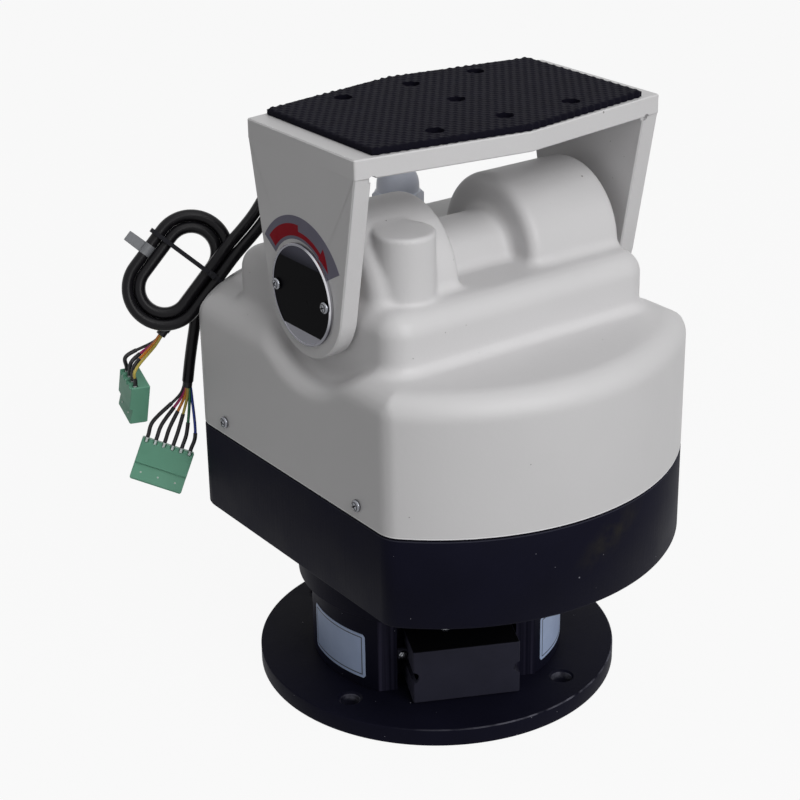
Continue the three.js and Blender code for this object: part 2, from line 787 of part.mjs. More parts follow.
const lipInside = lipInset + lipWall;
const panMotorBack = panWormY + panMotorRadius - planCentreY;
const panMotorRoom = Math.sqrt((planRadius - lipInside) ** 2 - panMotorBack ** 2);
const panMotorEnd = Math.min(flatHalfWidth - lipInside, panMotorRoom) - panMotorClearance;
piece(housingGroup, 'pan_motor', 'steel', shaftX(
  panMotorRadius, panMotorStart, panMotorEnd, panWormY, panWormZ,
));
piece(housingGroup, 'pan_worm_bearing', 'aluminium', block(
  at(panWormStart - gap - wormBearingThickness, panWormY - wormBearingWidth / 2, floorTop),
  at(panWormStart - gap, panWormY + wormBearingWidth / 2, panWormZ + wormBearingWidth / 2),
).subtract(shaftBore));
piece(housingGroup, 'pan_limit_switch', 'blackPlastic', block(
  at(-switchWidth / 2, -panWheelRadius - switchLength, floorTop),
  at(switchWidth / 2, -panWheelRadius - gap * 2, floorTop + switchHeight),
));
piece(housingGroup, 'control_board', 'board', block(
  at(-boardLength / 2, boardY, floorTop),
  at(boardLength / 2, boardY + boardThickness, floorTop + boardHeight),
));

// Tilt motor under its plate, the vertical worm in the boss and its bush
const motorPlateTop = motorPlateBottom + motorPlateThickness;
const plateFrontY = stepFrontY + coverWall + gap;
const plateLeftX = coverWall + gap - stepHalfWidth;
const wormShaftLow = motorPlateTop + gap;
piece(housingGroup, 'tilt_motor_plate', 'aluminium', block(
  at(plateLeftX, plateFrontY, motorPlateBottom),
  at(motorPlateInnerX, plateFrontY + motorPlateDepth, motorPlateTop),
));
const motorTop = motorPlateBottom - gap;
const tiltMotor = disc(tiltMotorRadius, motorTop - tiltMotorHeight, motorTop);
piece(housingGroup, 'tilt_motor', 'steel', tiltMotor.translate(bossX, bossY, 0));
const tiltWormRadius = tiltY - bossY - tiltWheelRadius - gap * 2;
const tiltWormTop = tiltWormBottom + tiltWormLength;
const tiltWorm = worm(tiltWormRadius, tiltWormBottom, tiltWormLength, tiltWormBottom - wormShaftLow);
const wormTrim = block(
  at(-bossRadius, -bossRadius, tiltWormTop + tiltBushHeight + gap),
  at(bossRadius, bossRadius, bossTop + bossRadius),
);
piece(housingGroup, 'tilt_worm', 'steel', tiltWorm.subtract(wormTrim).translate(bossX, bossY, 0));
const wormBushRadius = bossRadius - coverWall - gap;
piece(housingGroup, 'tilt_worm_bush', 'bronze', ring(
  wormShaftRadius + gap, wormBushRadius, tiltWormTop + gap, tiltWormTop + gap + tiltBushHeight,
).translate(bossX, bossY, 0));

// Tilt bushes in the side walls of the cover
const bushOuterX = stepHalfWidth - gap;
for (const [name, side] of [['tilt_bush_left', -1], ['tilt_bush_right', 1]]) {
  const bush = ring(tiltShaftRadius + gap, tiltBushRadius, bushOuterX - tiltBushLength, bushOuterX);
  const facing = side > 0 ? bush : bush.rotate(180, 0, 0);
  piece(housingGroup, name, 'bronze', alongX(facing, tiltY, tiltZ));
}

// Tilt shaft with its wheel and limit cam, and the switches beside the cam
const shaftEnd = armInnerX + armThickness - gap;
piece(yokeGroup, 'tilt_shaft', 'steel', shaftX(tiltShaftRadius, -shaftEnd, shaftEnd));
const tiltWheel = toothedWheel(tiltWheelRadius, tiltWheelToothDepth, tiltWheelTeeth,
  bossX - tiltWheelThickness / 2, bossX + tiltWheelThickness / 2);
const shaftHole = disc(tiltShaftRadius + gap, -flatHalfWidth, flatHalfWidth);
piece(yokeGroup, 'tilt_wheel', 'bronze', alongX(tiltWheel.subtract(shaftHole), tiltY, tiltZ));
const camNotch = disc(camNotchRadius, camX - camThickness, camX + camThickness * 2, smallSteps)
  .translate(camRadius, 0, 0);
piece(yokeGroup, 'limit_cam', 'aluminium', alongX(
  disc(camRadius, camX, camX + camThickness).subtract(shaftHole).subtract(camNotch), tiltY, tiltZ,
));
const switchPlateRadius = humpRadius - coverWall - gap;
const switchPlate = shaftX(switchPlateRadius, switchPlateX, switchPlateX + switchPlateThickness)
  .subtract(shaftX(tiltShaftRadius + overrun, switchPlateX - overrun, switchPlateX + overrun * 2))
  .subtract(block(
    at(switchPlateX - overrun, tiltY - humpRadius, tiltZ - humpRadius * 2),
    at(switchPlateX + overrun * 2, tiltY + humpRadius, switchPlateBottom),
  ));
piece(housingGroup, 'switch_plate', 'steel', switchPlate);
for (const [name, side] of [['tilt_switch_front', -1], ['tilt_switch_rear', 1]]) {
  const near = tiltY + side * (camRadius + gap * 2);
  const far = near + side * switchHeight;
  piece(housingGroup, name, 'blackPlastic', block(
    at(switchPlateX - gap - switchWidth, Math.min(near, far), tiltZ - switchHeight / 2),
    at(switchPlateX - gap, Math.max(near, far), tiltZ + switchHeight / 2),
  ));
}

// Yoke arms: a round end at the shaft and two tangent edges up to the plate's underside
const plateBottom = plateTop - plateThickness;
function armOutline() {
  const rise = plateBottom - tiltZ;
  const reach = Math.hypot(armTopHalfWidth, rise);
  const tangent = Math.atan2(rise, armTopHalfWidth) - Math.acos(armEndRadius / reach);
  const end = arc(0, 0, armEndRadius, tangent, -Math.PI - tangent, shaftSteps);
  return [
    [armTopHalfWidth, plateTop - tiltZ], [armTopHalfWidth, rise], ...end,
    [-armTopHalfWidth, rise], [-armTopHalfWidth, plateTop - tiltZ],
  ];
}
const armBore = disc(tiltShaftRadius + gap, armInnerX - overrun, armInnerX + armThickness + overrun);
const badgeBores = (spread, start, end) => [-1, 1].map((side) => (
  disc(badgeShankRadius + gap, start, end, smallSteps).translate(side * spread, 0, 0)));

// The outline lies in (y, z) about the tilt axis, and the arm's thickness runs along x.
const standUp = (body) => body.rotate(90, 0, 90).translate(0, tiltY, tiltZ);
const mirrored = (body) => body.mirrorX();
const armSolid = (spread) => {
  let arm = prism(armOutline(), armInnerX, armInnerX + armThickness).subtract(armBore);
  for (const bore of badgeBores(spread, armInnerX - overrun, armInnerX + armThickness + overrun)) {
    arm = arm.subtract(bore);
  }
  return standUp(arm);
};
piece(yokeGroup, 'yoke_arm_left', 'greyPaint', mirrored(armSolid(badgeScrewSpread)));
piece(yokeGroup, 'yoke_arm_right', 'greyPaint', armSolid(endScrewSpread));

// Camera plate and rubber pad: long hexagons bowed out at the middle, with seven holes
function bowedPlan(halfLength, inset) {
  const side = armTopHalfWidth - inset + (plateBow * (armInnerX - halfLength)) / armInnerX;
  const middle = armTopHalfWidth - inset + plateBow;
  const half = [[halfLength, -side], [halfLength, side], [0, middle]];
  return [...half, ...half.map(([x, y]) => [-x, -y])].map(([x, y]) => [x, y + tiltY]);
}
const plateHoles = [[0, 0]];
for (const x of [-plateHoleSpacingX, 0, plateHoleSpacingX]) {
  plateHoles.push([x, -plateHoleSpacingY], [x, plateHoleSpacingY]);
}
function withHoles(body, bottom, top) {
  const hole = disc(plateHoleRadius, bottom - overrun, top + overrun, smallSteps);
  return plateHoles.reduce((left, [x, y]) => left.subtract(hole.translate(x, tiltY + y, 0)), body);
}
piece(yokeGroup, 'camera_plate', 'greyPaint', withHoles(
  prism(bowedPlan(armInnerX - gap, 0), plateBottom, plateTop), plateBottom, plateTop,
));
const padBottom = plateTop + gap;
const padTop = padBottom + padThickness;
piece(yokeGroup, 'rubber_pad', 'rubber', withHoles(
  prism(bowedPlan(padHalfLength, padInset), padBottom, padTop), padBottom, padTop,
));

// Badge disc on the near arm, plain end disc on the far arm, and their screws
const armFace = armInnerX + armThickness + gap;
function faceDisc(radius, spread) {
  let plate = disc(radius, armFace, armFace + badgeThickness, shaftSteps);
  for (const bore of badgeBores(spread, armFace - overrun, armFace + overrun * 2)) {
    plate = plate.subtract(bore);
  }
  return standUp(plate);
}
function faceScrew(spread, side) {
  const fastener = screw(badgeHeadRadius, smallHeadHeight, badgeShankRadius, badgeShankLength);
  return standUp(fastener.translate(side * spread, 0, armFace + badgeThickness + gap));
}
piece(yokeGroup, 'badge_disc', 'aluminium', mirrored(faceDisc(badgeRadius, badgeScrewSpread)));
piece(yokeGroup, 'badge_screw_front', 'steel', mirrored(faceScrew(badgeScrewSpread, -1)));
piece(yokeGroup, 'badge_screw_rear', 'steel', mirrored(faceScrew(badgeScrewSpread, 1)));
piece(yokeGroup, 'end_disc', 'aluminium', faceDisc(endDiscRadius, endScrewSpread));
piece(yokeGroup, 'end_screw_front', 'steel', faceScrew(endScrewSpread, -1));
piece(yokeGroup, 'end_screw_rear', 'steel', faceScrew(endScrewSpread, 1));

// Cable gland: a hexagon body screwed into the pad, and a domed cap nut
const hexRadius = glandHexAcross / Math.sqrt(3);
const glandFoot = glandPadTop + gap;
const hexTop = glandFoot + glandHexHeight;
const capBottom = hexTop + gap;
const glandTop = capBottom + glandCapHeight;
const glandBody = disc(hexRadius, glandFoot, hexTop, 6)
  .add(disc(glandThreadRadius, glandPadTop - glandThreadLength, glandFoot + overrun))
  .add(disc(glandBodyRadius - coverWall / 2, hexTop - overrun, glandTop - glandCapHexHeight))
  .subtract(disc(glandMouthRadius, glandPadTop - glandThreadLength * 2, glandTop));
piece(housingGroup, 'gland_body', 'glandNylon', glandBody.translate(glandX, glandY, 0));
const domeFoot = glandTop - (glandCapRadius - glandMouthRadius) * 2;
const domeSteps = softSteps;
const dome = Array.from({ length: domeSteps + 1 }, (_, k) => {
  const turn = ((Math.PI / 2) * k) / domeSteps;
  const crown = glandCapRadius - glandMouthRadius - gap;
  const rise = (glandTop - domeFoot) * Math.sin(turn);
  return [glandMouthRadius + gap + crown * Math.cos(turn), domeFoot + rise];
});
const capHex = disc(hexRadius, capBottom, capBottom + glandCapHexHeight, 6);
const capDome = turned([[0, capBottom], [glandCapRadius, capBottom], ...dome, [0, glandTop]], shaftSteps);
const capBoreTop = glandTop - glandCapHexHeight + gap;
const capBore = disc(glandBodyRadius - coverWall / 2 + gap, capBottom - overrun, capBoreTop)
  .add(disc(glandMouthRadius, capBottom, glandTop + overrun));
const glandCap = capHex.add(capDome).subtract(capBore);
piece(housingGroup, 'gland_cap', 'glandNylon', glandCap.translate(glandX, glandY, 0));

// Hank frame: "along" runs down the hank, "across" lies over it and "front" faces out of it.
const hankFront = at(-0.452, -0.832, 0.335).normalize();
const imageRight = new THREE.Vector3().crossVectors(at(0, 0, 1), hankFront).normalize();
const imageUp = new THREE.Vector3().crossVectors(hankFront, imageRight);
const hankLean = rad(230);
const hankAlong = imageRight.clone().multiplyScalar(Math.cos(hankLean))
  .addScaledVector(imageUp, Math.sin(hankLean));
const hankAcross = new THREE.Vector3().crossVectors(hankFront, hankAlong);
function hankPlace(along, across, front) {
  return hankCentre.clone().addScaledVector(hankAlong, along)
    .addScaledVector(hankAcross, across).addScaledVector(hankFront, front);
}

// One cable of the hank: a flat-sided loop that moves back one pitch a turn. It runs down the near
// side, round the low end, up the far side and round the top, and ends with a straight run.
const hankHalf = hankStraight / 2;
class HankCurve extends THREE.Curve {
  constructor(radius) {
    super();
    this.radius = radius;
    this.bend = Math.PI * radius;
    this.loop = 2 * (hankStraight + this.bend);
    this.travel = hankTurns * this.loop + hankEndRun;
  }

  depthAt(travelled) {
    return hankPitch * (hankTurns / 2 - travelled / this.loop);
  }

  getPoint(share) {
    const { radius, bend } = this;
    const travelled = share * this.travel;
    const depth = this.depthAt(travelled);
    const s = travelled % this.loop;
    if (s < hankStraight) {
      return hankPlace(s - hankHalf, radius, depth);
    }
    if (s < hankStraight + bend) {
      const turn = (s - hankStraight) / radius;
      return hankPlace(hankHalf + radius * Math.sin(turn), radius * Math.cos(turn), depth);
    }
    if (s < 2 * hankStraight + bend) {
      return hankPlace(hankHalf - (s - hankStraight - bend), -radius, depth);
    }
    const turn = (s - 2 * hankStraight - bend) / radius;
    return hankPlace(-hankHalf - radius * Math.sin(turn), -radius * Math.cos(turn), depth);
  }
}

const route = (points) => new THREE.CatmullRomCurve3(points, false, 'centripetal');
const circlePoints = (radius, sides) => arc(0, 0, radius, 0, 2 * Math.PI, sides).slice(1)
  .map(([x, y]) => new THREE.Vector2(x, y));

// A round tube along a curve.
function tube(curve, radius, sides, steps) {
  const shape = new THREE.Shape(circlePoints(radius, sides));
  return new Body(new THREE.ExtrudeGeometry(shape, { steps, bevelEnabled: false, extrudePath: curve }));
}

// Least gap between two tubes, or of one tube to itself, measured on points of their centre lines.
function leastGap(first, second) {
  const firstPoints = first.getSpacedPoints(gapPoints);
  const secondPoints = second.getSpacedPoints(gapPoints);
  const apart = (3 * cableRadius * gapPoints) / first.travel;
  let least = Infinity;
  firstPoints.forEach((point, k) => secondPoints.forEach((other, m) => {
    if (first !== second || Math.abs(k - m) >= apart) {
      least = Math.min(least, point.distanceTo(other));
    }
  }));
  return least - 2 * cableRadius;
}

// The two cables leave the gland side by side, arch over the shoulder, are wound together into
// the hank and leave it as two tails.
const cables = [
  { key: 'a', side: 1, radius: hankInnerRadius },
  { key: 'b', side: -1, radius: hankInnerRadius + hankSpacing },
];
const leadMiddle = [
  at(glandX, glandY, glandTop - glandCapHexHeight),
  at(glandX, glandY, glandTop),
  ...leadRoute.map((place) => at(...place)),
];
const twistStart = 2;
const cableSpread = hankSpacing / 2;
for (const cable of cables) {
  const coil = new HankCurve(cable.radius);
  cable.coil = coil;
  const lead = leadMiddle.map((point, k) => {
    const share = Math.max(0, (k - twistStart) / (leadMiddle.length - 1 - twistStart));
    const sideways = at(0, 1 - share, 0).addScaledVector(hankAcross, -share).normalize();
    return point.clone().addScaledVector(sideways, cable.side * cableSpread);
  });
  const slope = hankPitch / coil.loop;
  const straightIn = (back) => hankPlace(-hankHalf - back, cable.radius, coil.depthAt(-back) + slope * back);
  lead.push(straightIn(leadRun), straightIn(gap));
  const leadTube = tube(route(lead), cableRadius, leadSides, leadSteps);
  piece(housingGroup, `cable_${cable.key}_lead`, 'sheath', leadTube);
  const coilSteps = Math.round((hankLoopSteps * coil.travel) / coil.loop);
  piece(housingGroup, `cable_${cable.key}_coil`, 'sheath', tube(coil, cableRadius, hankSides, coilSteps));
  console.log(`least gap of coil ${cable.key} to itself: ${leastGap(coil, coil).toFixed(2)} mm`);
}
const [cableA, cableB] = cables;
console.log(`least gap between the coils: ${leastGap(cableA.coil, cableB.coil).toFixed(2)} mm`);

// The tails leave the hank behind it: the inner one along the hank, the outer one straight down.
function tailStart(cable, forward) {
  const { coil, radius } = cable;
  return hankPlace(hankEndRun - hankHalf + forward, radius, coil.depthAt(coil.travel + forward));
}
const tailA = route([
  tailStart(cableA, gap), tailStart(cableA, hankEndRun), tailStart(cableA, 3 * hankEndRun),
  tailStart(cableA, tailReach),
]);
piece(housingGroup, 'cable_a_tail', 'sheath', tube(tailA, cableRadius, leadSides, tailSteps));
const tailB = route([
  tailStart(cableB, gap), tailStart(cableB, hankEndRun), ...outerTailRoute.map((place) => at(...place)),
]);
piece(housingGroup, 'cable_b_tail', 'sheath', tube(tailB, cableRadius, leadSides, tailSteps));

// Band that ties the hank, drawn round every pass of the two cables, with its lock and free end
function tieCentres() {
  const near = tieAlong + hankHalf;
  const depths = ({ coil }, travelled) => [
    coil.depthAt(travelled), coil.depthAt(travelled + hankTurns * coil.loop),
  ];
  const [innerFront, innerBack] = depths(cableA, near);
  const [outerFront, outerBack] = depths(cableB, near);
  const far = 2 * hankStraight + cableB.coil.bend - near;
  const { radius } = cableB;
  return [
    [radius, outerBack], [radius, outerFront], [cableA.radius, innerFront],
    [-radius, cableB.coil.depthAt(far)], [-radius, cableB.coil.depthAt(far + cableB.coil.loop)],
    [cableA.radius, innerBack],
  ];
}

// Outline at one reach round a convex ring of centres given anticlockwise.
function wrapped(centres, reach) {
  const count = centres.length;
  const normal = (k) => {
    const [fromX, fromY] = centres[(k + count) % count];
    const [toX, toY] = centres[(k + 1) % count];
    return Math.atan2(fromX - toX, toY - fromY);
  };
  return centres.flatMap(([x, y], k) => {
    const start = normal(k - 1);
    const turn = (normal(k) - start + 4 * Math.PI) % (2 * Math.PI);
    return arc(x, y, reach, start, start + turn, cornerSteps);
  });
}
const tieReach = cableRadius + gap;
const lockFront = cableA.coil.depthAt(0) + tieReach + tieThickness;
const tieBand = prism(wrapped(tieCentres(), tieReach + tieThickness), 0, tieWidth)
  .subtract(prism(wrapped(tieCentres(), tieReach), -overrun, tieWidth + overrun));
const tieLock = block(
  at(hankInnerRadius, lockFront - tieThickness, -tieThickness / 2),
  at(hankInnerRadius + tieLockWidth, lockFront + tieWidth, tieWidth + tieThickness / 2),
);
const tieTail = block(
  at(hankInnerRadius + tieThickness, lockFront, 0),
  at(hankInnerRadius + tieThickness * 2, lockFront + tieTailLength, tieWidth),
);

// Carries a solid from its own axes to three unit directions at a place.
function carried(body, origin, x, y, z) {
  return body.moved(new THREE.Matrix4().makeBasis(x, y, z).setPosition(origin));
}
piece(housingGroup, 'bundle_tie', 'blackPlastic', carried(tieBand.add(tieLock).add(tieTail),
  hankPlace(tieAlong - tieWidth / 2, 0, 0), hankAcross, hankFront, hankAlong.clone()));

// Terminal plugs: the wide face lies across, the length runs down from the wire side.
function plugSolid(poles) {
  const half = (poles * plugPolePitch) / 2;
  const body = block(at(-half, 0, -plugThickness / 2), at(half, plugLength, plugThickness / 2));
  const ledge = block(
    at(-half - overrun, plugLength * plugLedgeShare, plugThickness / 2 - plugLedgeDepth),
    at(half + overrun, plugLength + overrun, plugThickness),
  );
  return body.subtract(ledge);
}

// A wire runs from inside the root sleeve to just above its pole of the plug.
function wiring(name, tail, plug) {
  const end = tail.getPoint(1);
  const heading = tail.getTangent(1);
  const origin = end.clone().addScaledVector(heading, gap);
  const sleeve = route([origin, origin.clone().addScaledVector(heading, sleeveLength)]);
  let bundle = tube(sleeve, cableRadius - gap, leadSides, 1);
  const middle = (plug.poles - 1) / 2;
  for (let k = 0; k < plug.poles; k += 1) {
    const shift = (k - middle) * plugPolePitch;
    const entry = plug.top.clone().addScaledVector(plug.across, shift).addScaledVector(plug.down, -gap);
    const above = entry.clone().addScaledVector(plug.down, -plugStraight);
    const inside = origin.clone().addScaledVector(plug.across, shift * rootShare)
      .addScaledVector(heading, sleeveLength / 2);
    const below = inside.clone().addScaledVector(heading, sleeveLength * 2)
      .addScaledVector(plug.across, shift * rootShare);
    const wire = route([inside, below, above, entry]);
    bundle = bundle.add(tube(wire, wireRadius, wireSides, wireSteps));
  }
  piece(housingGroup, name, 'sheath', bundle);
}
function plugFrame(top, lean, tip, turn, poles) {
  const down = imageRight.clone().multiplyScalar(-Math.sin(lean)).addScaledVector(imageUp, -Math.cos(lean))
    .multiplyScalar(Math.cos(tip)).addScaledVector(hankFront, -Math.sin(tip));
  const level = new THREE.Vector3().crossVectors(down, hankFront).normalize();
  const facing = new THREE.Vector3().crossVectors(level, down);
  const across = level.multiplyScalar(Math.cos(turn)).addScaledVector(facing, Math.sin(turn));
  const out = new THREE.Vector3().crossVectors(across, down);
  return { top, down, across, out, poles };
}
const smallPlug = plugFrame(
  at(...smallPlugTop), rad(smallPlugLean), rad(smallPlugTip), rad(smallPlugTurn), smallPlugPoles,
);
const largePlug = plugFrame(at(...plugTop), rad(plugLean), 0, 0, plugPoles);
const plugs = [{ key: 'a', tail: tailA, ...smallPlug }, { key: 'b', tail: tailB, ...largePlug }];
for (const plug of plugs) {
  const solid = carried(plugSolid(plug.poles), plug.top, plug.across, plug.down, plug.out);
  piece(housingGroup, `plug_${plug.key}`, 'greenPlastic', solid);
  wiring(`wires_${plug.key}`, plug.tail, plug);
}

export default head;
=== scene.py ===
import json

import bmesh
import bpy
import numpy as np
from mathutils import Matrix


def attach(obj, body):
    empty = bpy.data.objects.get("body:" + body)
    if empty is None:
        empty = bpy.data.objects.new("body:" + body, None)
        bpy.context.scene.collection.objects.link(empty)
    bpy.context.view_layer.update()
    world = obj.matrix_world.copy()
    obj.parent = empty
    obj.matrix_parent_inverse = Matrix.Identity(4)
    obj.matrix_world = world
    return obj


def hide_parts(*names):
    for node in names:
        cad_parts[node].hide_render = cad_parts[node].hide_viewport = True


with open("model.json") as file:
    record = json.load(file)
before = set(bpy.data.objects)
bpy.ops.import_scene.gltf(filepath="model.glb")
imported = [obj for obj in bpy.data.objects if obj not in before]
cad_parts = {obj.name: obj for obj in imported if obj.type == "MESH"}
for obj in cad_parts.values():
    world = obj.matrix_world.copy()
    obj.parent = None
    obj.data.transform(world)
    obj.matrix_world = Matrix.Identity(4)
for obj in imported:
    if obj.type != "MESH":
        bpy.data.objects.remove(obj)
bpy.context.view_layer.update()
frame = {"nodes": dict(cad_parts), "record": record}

# Lengths below are in millimetres and angles in degrees. Meshes are put down in metres.
MM = 0.001

# ---- measures that several pieces share
axis_x, axis_y, axis_z = np.eye(3)
plan_radius, plan_flat, plan_corner, plan_y = 130, 97, 14, -4
corner_x = plan_flat - plan_corner
corner_y = np.sqrt((plan_radius - plan_corner) ** 2 - corner_x ** 2)
tilt_y, tilt_z = -20, 244
gland_x, gland_y = 46, 96
column_radius, flat_turn, flat_distance = 70, -115, 55
bolt_circle, bolt_turn = 83, 19
pole_pitch = 5.08


# ---- camera
def unit(vector):
    """The vector over its own length, along the last axis."""
    vector = np.asarray(vector, float)
    return vector / np.linalg.norm(vector, axis=-1, keepdims=True)


def turned(first, second, turn):
    """Two directions turned by t in their plane: a cos t + b sin t and b cos t - a sin t."""
    c, s = np.cos(np.radians(turn)), np.sin(np.radians(turn))
    return first * c + second * s, second * c - first * s


def towards(azimuth, elevation):
    """Direction (sin a cos e, -cos a cos e, sin e) of an azimuth a and an elevation e."""
    return turned(turned(-axis_y, axis_x, azimuth)[0], axis_z, elevation)[0]


def placed(x, y, z, place):
    """Matrix with its axes along three directions, at a place in metres."""
    matrix = Matrix(np.column_stack([x, y, z]).tolist()).to_4x4()
    matrix.translation = place
    return matrix


def stood(name, data, matrix):
    """A camera or lamp put at a matrix."""
    item = bpy.data.objects.new(name, data)
    item.matrix_world = matrix
    bpy.context.collection.objects.link(item)
    return item


# Where the photograph was taken: level, then rolled. The middle of its picture is in pixels.
width, focal, sensor = 800, 1947, 36
middle_u, middle_v = 398.182, 397.582
camera = bpy.data.cameras.new("photo_camera")
camera.sensor_width = sensor
camera.lens = sensor * focal / width
camera.shift_x = (width / 2 - middle_u) / width
camera.shift_y = (middle_v - width / 2) / width
camera.clip_end = 50
back = towards(-35.337, 23.708)
level = unit(np.cross(-back, axis_z))
right, up = turned(level, np.cross(level, -back), -0.918)
matrix = placed(right, up, back, (-0.574126, -0.775623, 0.580697))
bpy.context.scene.camera = stood("photo_camera", camera, matrix)


# ---- surfaces
def shaded(mesh, sharp):
    """Smooth shading, with the edges past an angle kept sharp."""
    mesh.shade_smooth()
    mesh.set_sharp_from_angle(angle=np.radians(sharp))


def make(name, points, faces, body, *, smooth=True, sharp=40, weld=False, bridge=False, turn_out=True):
    """A mesh of points and quads. Repeated points are welded and two open rims bridged where asked."""
    mesh = bpy.data.meshes.new(name)
    mesh.from_pydata(np.asarray(points, float).reshape(-1, 3) * MM, [], np.asarray(faces).tolist())
    work = bmesh.new()
    work.from_mesh(mesh)
    if weld:
        bmesh.ops.remove_doubles(work, verts=work.verts, dist=1e-6)
    if bridge:
        bmesh.ops.bridge_loops(work, edges=[edge for edge in work.edges if edge.is_boundary])
    if turn_out and work.calc_volume(signed=True) < 0:
        bmesh.ops.reverse_faces(work, faces=work.faces)
    work.to_mesh(mesh)
    work.free()
    if smooth:
        shaded(mesh, sharp)
    piece = bpy.data.objects.new(name, mesh)
    bpy.context.collection.objects.link(piece)
    if body:
        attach(piece, body)
    return piece


def grid_faces(rows, columns, wrap_rows=False, start=0):
    """Quads of a grid of points, closed round its columns and, where asked, round its rows."""
    row, column = np.indices((rows if wrap_rows else rows - 1, columns))
    below, beside = (row + 1) % rows * columns, (column + 1) % columns
    corners = [row * columns + column, row * columns + beside, below + beside, below + column]
    return np.stack(corners, -1).reshape(-1, 4) + start


def surface(name, points, body, wrap_rows=False, **settings):
    """The mesh of one grid of points of shape (rows, columns, 3), welded unless its rows close in a ring."""
    faces = grid_faces(*points.shape[:2], wrap_rows)
    return make(name, points, faces, body, weld=not wrap_rows, **settings)


def softened(corners, reach, steps=4):
    """A closed polygon whose corners become quadratic curves that start and end at `reach` from the corner."""
    corners = np.asarray(corners, float)
    reach = np.broadcast_to(reach, len(corners))[:, None]
    before = unit(np.roll(corners, 1, 0) - corners) * reach
    after = unit(np.roll(corners, -1, 0) - corners) * reach
    share = np.linspace(0, 1, steps + 1)[None, :, None]
    curve = corners[:, None] + before[:, None] * (1 - share) ** 2 + after[:, None] * share ** 2
    curve = curve.reshape(-1, corners.shape[1])
    apart = np.linalg.norm(np.diff(curve, axis=0, prepend=curve[-1:] + 1), axis=1)
    return curve[apart > 1e-6]


def grid_points(x, y, z):
    """Points of three coordinates whose shapes fit each other."""
    return np.stack(np.broadcast_arrays(x, y, z), -1)


def lathe(profile, steps=128):
    """Points of a profile of [radius, height] rows carried round Z."""
    profile = np.asarray(profile, float)
    turn = np.linspace(0, 2 * np.pi, steps, endpoint=False)[None, :]
    radius = profile[:, :1]
    return grid_points(radius * np.cos(turn), radius * np.sin(turn), profile[:, 1:])


def curve_through(points, steps=16):
    """Curve through all points: on each span a cubic whose end slopes weigh neighbours by root distance."""
    points = np.asarray(points, float)
    ends = np.vstack([2 * points[0] - points[1], points, 2 * points[-1] - points[-2]])
    gaps = np.sqrt(np.linalg.norm(np.diff(ends, axis=0), axis=1))[:, None]
    first, second, third, fourth = ends[:-3], ends[1:-2], ends[2:-1], ends[3:]
    before, own, after = gaps[:-2], gaps[1:-1], gaps[2:]
    start = ((second - first) / before - (third - first) / (before + own) + (third - second) / own) * own
    stop = ((third - second) / own - (fourth - second) / (own + after) + (fourth - third) / after) * own
    share = np.linspace(0, 1, steps, endpoint=False)[None, :, None]
    square = -3 * second + 3 * third - 2 * start - stop
    cube = 2 * second - 2 * third + start + stop
    parts = [part[:, None] * share ** power for power, part in enumerate([second, start, square, cube])]
    return np.vstack([sum(parts).reshape(-1, 3), points[-1:]])


def travelled(path):
    """Length of a path from its start to each of its points."""
    return np.concatenate([[0], np.cumsum(np.linalg.norm(np.diff(path, axis=0), axis=1))])


def evenly(path, spacing):
    """The path's points moved to equal steps along its length."""
    length = travelled(path)
    even = np.linspace(0, length[-1], int(round(length[-1] / spacing)) + 1)
    return np.stack([np.interp(even, length, path[:, axis]) for axis in range(3)], -1)


def closed_ends(rows):
    """Rows with their middle point added before the first and after the last, so that both ends close."""
    first, last = [np.repeat(end.mean(1, keepdims=True), rows.shape[1], 1) for end in (rows[:1], rows[-1:])]
    return np.concatenate([first, rows, last])


def tube(path, radius, sides, steady):
    """Circles round a path in the plane across its tangent, kept level with a steady direction, ends closed."""
    ahead = unit(np.gradient(path, axis=0))
    level = unit(np.cross(ahead, steady))
    rise = np.cross(ahead, level)
    turn = np.linspace(0, 2 * np.pi, sides, endpoint=False)[None, :, None]
    return closed_ends(path[:, None] + radius * (np.cos(turn) * level[:, None] + np.sin(turn) * rise[:, None]))


# ---- finishes
def maths(operation, turned=False, clamp=False):
    """An operator that adds a Math node over a term and another value, the two turned round if asked."""
    def operator(self, other=0):
        values = (other, self) if turned else (self, other)
        return self.finish.node("Math", dict(enumerate(values)), operation=operation, use_clamp=clamp)
    return operator


class Term:
    """A node's output socket. Operators on it add Math nodes to its material."""

    def __init__(self, finish, socket):
        self.finish = finish
        self.socket = socket

    __add__ = __radd__ = maths("ADD")
    __sub__ = maths("SUBTRACT")
    __rsub__ = maths("SUBTRACT", turned=True)
    __mul__ = maths("MULTIPLY")
    __truediv__ = maths("DIVIDE")
    __pow__ = maths("POWER")
    __abs__ = maths("ABSOLUTE")
    __gt__ = maths("GREATER_THAN")
    __lt__ = maths("LESS_THAN")
    least = maths("MINIMUM")
    most = maths("MAXIMUM")
    clamped = maths("ADD", clamp=True)


def linear(colour):
    """A colour given from 0 to 255 as the screen shows it, as the renderer's linear colour."""
    share = np.asarray(colour) / 255
    value = np.where(share <= 0.04045, share / 12.92, ((share + 0.055) / 1.055) ** 2.4)
    return (*value.tolist(), 1)


